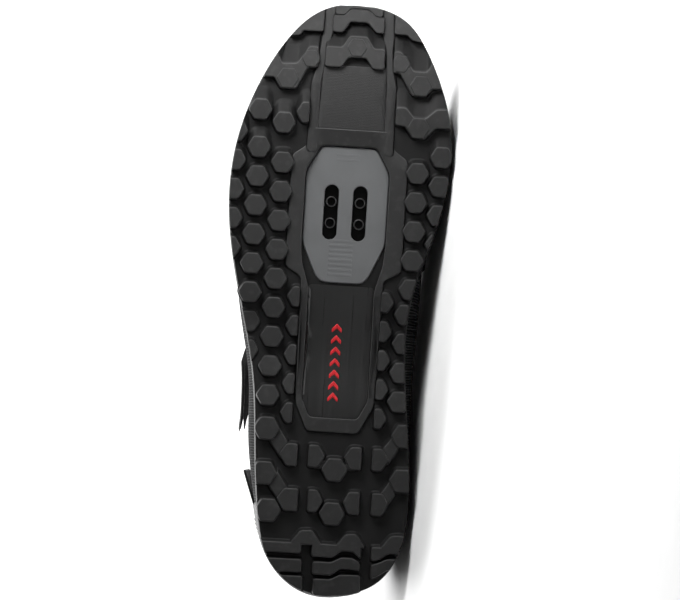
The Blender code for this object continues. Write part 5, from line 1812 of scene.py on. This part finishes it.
def lace_path(start, end, lift):
    """From under a lateral eyelet, over the tongue, to under a medial one."""
    knots = []
    for section, order in ((start, 1), (24 - end, -1)):
        hole = [over_upper(section, EYELET_RISE, d * MM) for d in (-1.6, 0.4, 1.6)]
        lip = [over_upper(section, EYELET_RISE + 0.035, 2.35 * MM)]
        knots.append((hole + lip)[::order])
    lateral, medial = knots[0][-1], knots[1][0]
    crown = over_girth((start + end) / 2, 0.0, (2.0 + lift) * MM) - (lateral + medial) / 2
    arch = []
    for s in np.linspace(0.15, 0.85, 9):
        arch.append(lateral + (medial - lateral) * s + crown * (1 - (2 * s - 1) ** 2))
    spots = np.array([*knots[0], *arch, *knots[1]])
    places = np.concatenate([[0], np.cumsum(np.linalg.norm(np.diff(spots, axis=0), axis=-1))])
    curves = [spline(places, spots[:, k]) for k in range(3)]
    fine = np.linspace(0, places[-1], 90)
    return np.stack([curve(fine) for curve in curves], -1)


def run_length(path):
    return round(float(np.linalg.norm(np.diff(path, axis=0), axis=-1).sum()) / MM, 1)


print("the bar is", run_length(lace_path(EYELET_ROWS[0], EYELET_ROWS[0], 0.2)), "mm long")

# %% Laces
lace_runs = [lace_path(EYELET_ROWS[0], EYELET_ROWS[0], 0.2)]
for low_row, top_row in zip(EYELET_ROWS, EYELET_ROWS[1:]):
    lace_runs += [lace_path(low_row, top_row, 0.1), lace_path(top_row, low_row, 2.0)]
laces = Shape()
for run in lace_runs:
    cord_shell(laces, run)
print("lace runs:", [run_length(run) for run in lace_runs], "mm")
soft_piece("laces", laces, webbing, ["laces"], crease=70)

# %% [markdown]
# ## Instep strap and side tab
# The strap is sewn down on the medial side, crosses the instep and closes on the lateral side, as a
# strap with hook and loop does. From the sole only its edge shows, with the two layers parting at the
# heel side. A flat band could be bent along a curve, but then it wouldn't lie on the foot: each layer
# is a shell along the strap's centre line, over the foot's surface, with rows of stitches on it.

# %% Points along the strap
STRAP_LINE = [(0.78, 4.65), (0.55, 5.45), (0.32, 6.3), (0.0, 6.8), (-0.32, 6.95), (-0.6, 7.0), (-0.86, 7.0)]
STRAP_SECTION = spline(*zip(*sorted(STRAP_LINE)))
STRAP_WIDTH = 37 * MM
UNDERLAY_WIDTH = 35.5 * MM
STRAP_THICKNESS = 2.6 * MM
STRAP_START, STRAP_END = STRAP_LINE[0][0], STRAP_LINE[-1][0]
TOP_PART, UNDER_PART = 0.7, -0.35
STRAP_COLUMNS = 25
strap_places = np.linspace(STRAP_START, STRAP_END, 131)


def strap_grid(height, width=STRAP_WIDTH, part=0.0):
    """Points across and along the strap, at a share of its own thickness."""
    middle = STRAP_SECTION(strap_places)
    reach = girth_point(middle + 0.1, strap_places) - girth_point(middle - 0.1, strap_places)
    spread = np.linalg.norm(reach, axis=-1)
    half = width / 2 / (spread / 0.2)
    steps = np.linspace(-1, 1, STRAP_COLUMNS)
    sections = middle[:, None] + half[:, None] * steps[None, :]
    anchor = smooth((strap_places - STRAP_END) / 0.45)
    under = GAP + 0.7 * MM * anchor + 1.4 * MM * smooth((strap_places - 0.3) / 0.4)
    thick = STRAP_THICKNESS * (0.5 + 0.5 * anchor)
    lift = (under + thick * height)[:, None] + 0 * sections
    parting = smooth((-steps[None, :] - 0.45) / 0.55) * smooth((strap_places[:, None] - 0.2) / 0.4)
    return over_girth(sections, strap_places[:, None] + 0 * sections, lift + part * parting * MM)


print("the strap is", run_length(strap_grid(0.5)[:, STRAP_COLUMNS // 2]), "mm long")


# %% Strap
def strap_layer(low, top, rim, part, width=STRAP_WIDTH):
    bottom, upper_face = strap_grid(low, width, part), strap_grid(top, width, part)
    share = rim_share(upper_face, rim)[..., None]
    ridge = 0.12 * (np.exp(-((rim_share(upper_face, 2.8 * MM) - 0.9) / 0.08) ** 2))[..., None]
    middle = (bottom + upper_face) / 2
    half = (upper_face - bottom) / 2
    shape = Shape()
    skin_shell(shape, middle + half * (share - ridge), middle - half * share)
    return shape


strap = strap_layer(0.42, 1.0, 0.7 * MM, TOP_PART)
soft_piece("instep_strap", strap, webbing, ["instep_strap"])
strap_base = strap_layer(0.0, 0.38, 0.45 * MM, UNDER_PART, UNDERLAY_WIDTH)
soft_piece("strap_underlay", strap_base, webbing)
strap_top = strap_grid(0.98, part=TOP_PART)
strap_above = strap_grid(1.4, part=TOP_PART)
for name, column in (("strap_stitches_front", 21), ("strap_stitches_back", 3)):
    seam(name, strap_top[6:-4, column], (strap_above - strap_top)[6:-4, column], thread)
for name, row in (("strap_stitches_end", 6), ("strap_stitches_anchor", -5), ("strap_stitches_fold", 34)):
    seam(name, strap_top[row, 3:22], (strap_above - strap_top)[row, 3:22], thread)

# %% [markdown]
# The side tab is a small flag of film that stands off the heel. A bone or a simulation could bend it;
# a grid over the foot whose distance grows towards its free end does it with one line.

# %% Side tab
TAB_THICKNESS = 1.2 * MM
tab_share = np.linspace(0, 1, 37)
tab_rises = np.linspace(0.36, 0.56, 17)
tab_grid_sections = 2.85 + 0.72 * tab_share[:, None] + 0 * tab_rises[None, :]
tab_lift = 0.3 * MM + 2.8 * MM * tab_share[:, None] ** 1.3 + 0 * tab_rises[None, :]
tab_low = over_upper(tab_grid_sections, tab_rises[None, :] + 0 * tab_lift, tab_lift)
tab_top = over_upper(tab_grid_sections, tab_rises[None, :] + 0 * tab_lift, tab_lift + TAB_THICKNESS)
share = rim_share(tab_top, 0.6 * MM)[..., None]
tab = Shape()
tab_middle, tab_half = (tab_low + tab_top) / 2, (tab_top - tab_low) / 2
skin_shell(tab, tab_middle + tab_half * share, tab_middle - tab_half * share)
soft_piece("side_tab", tab, film, ["side_tab"])

# %% [markdown]
# ## Sizes
# What is seen should stand no more than a fraction of a millimetre past the model.
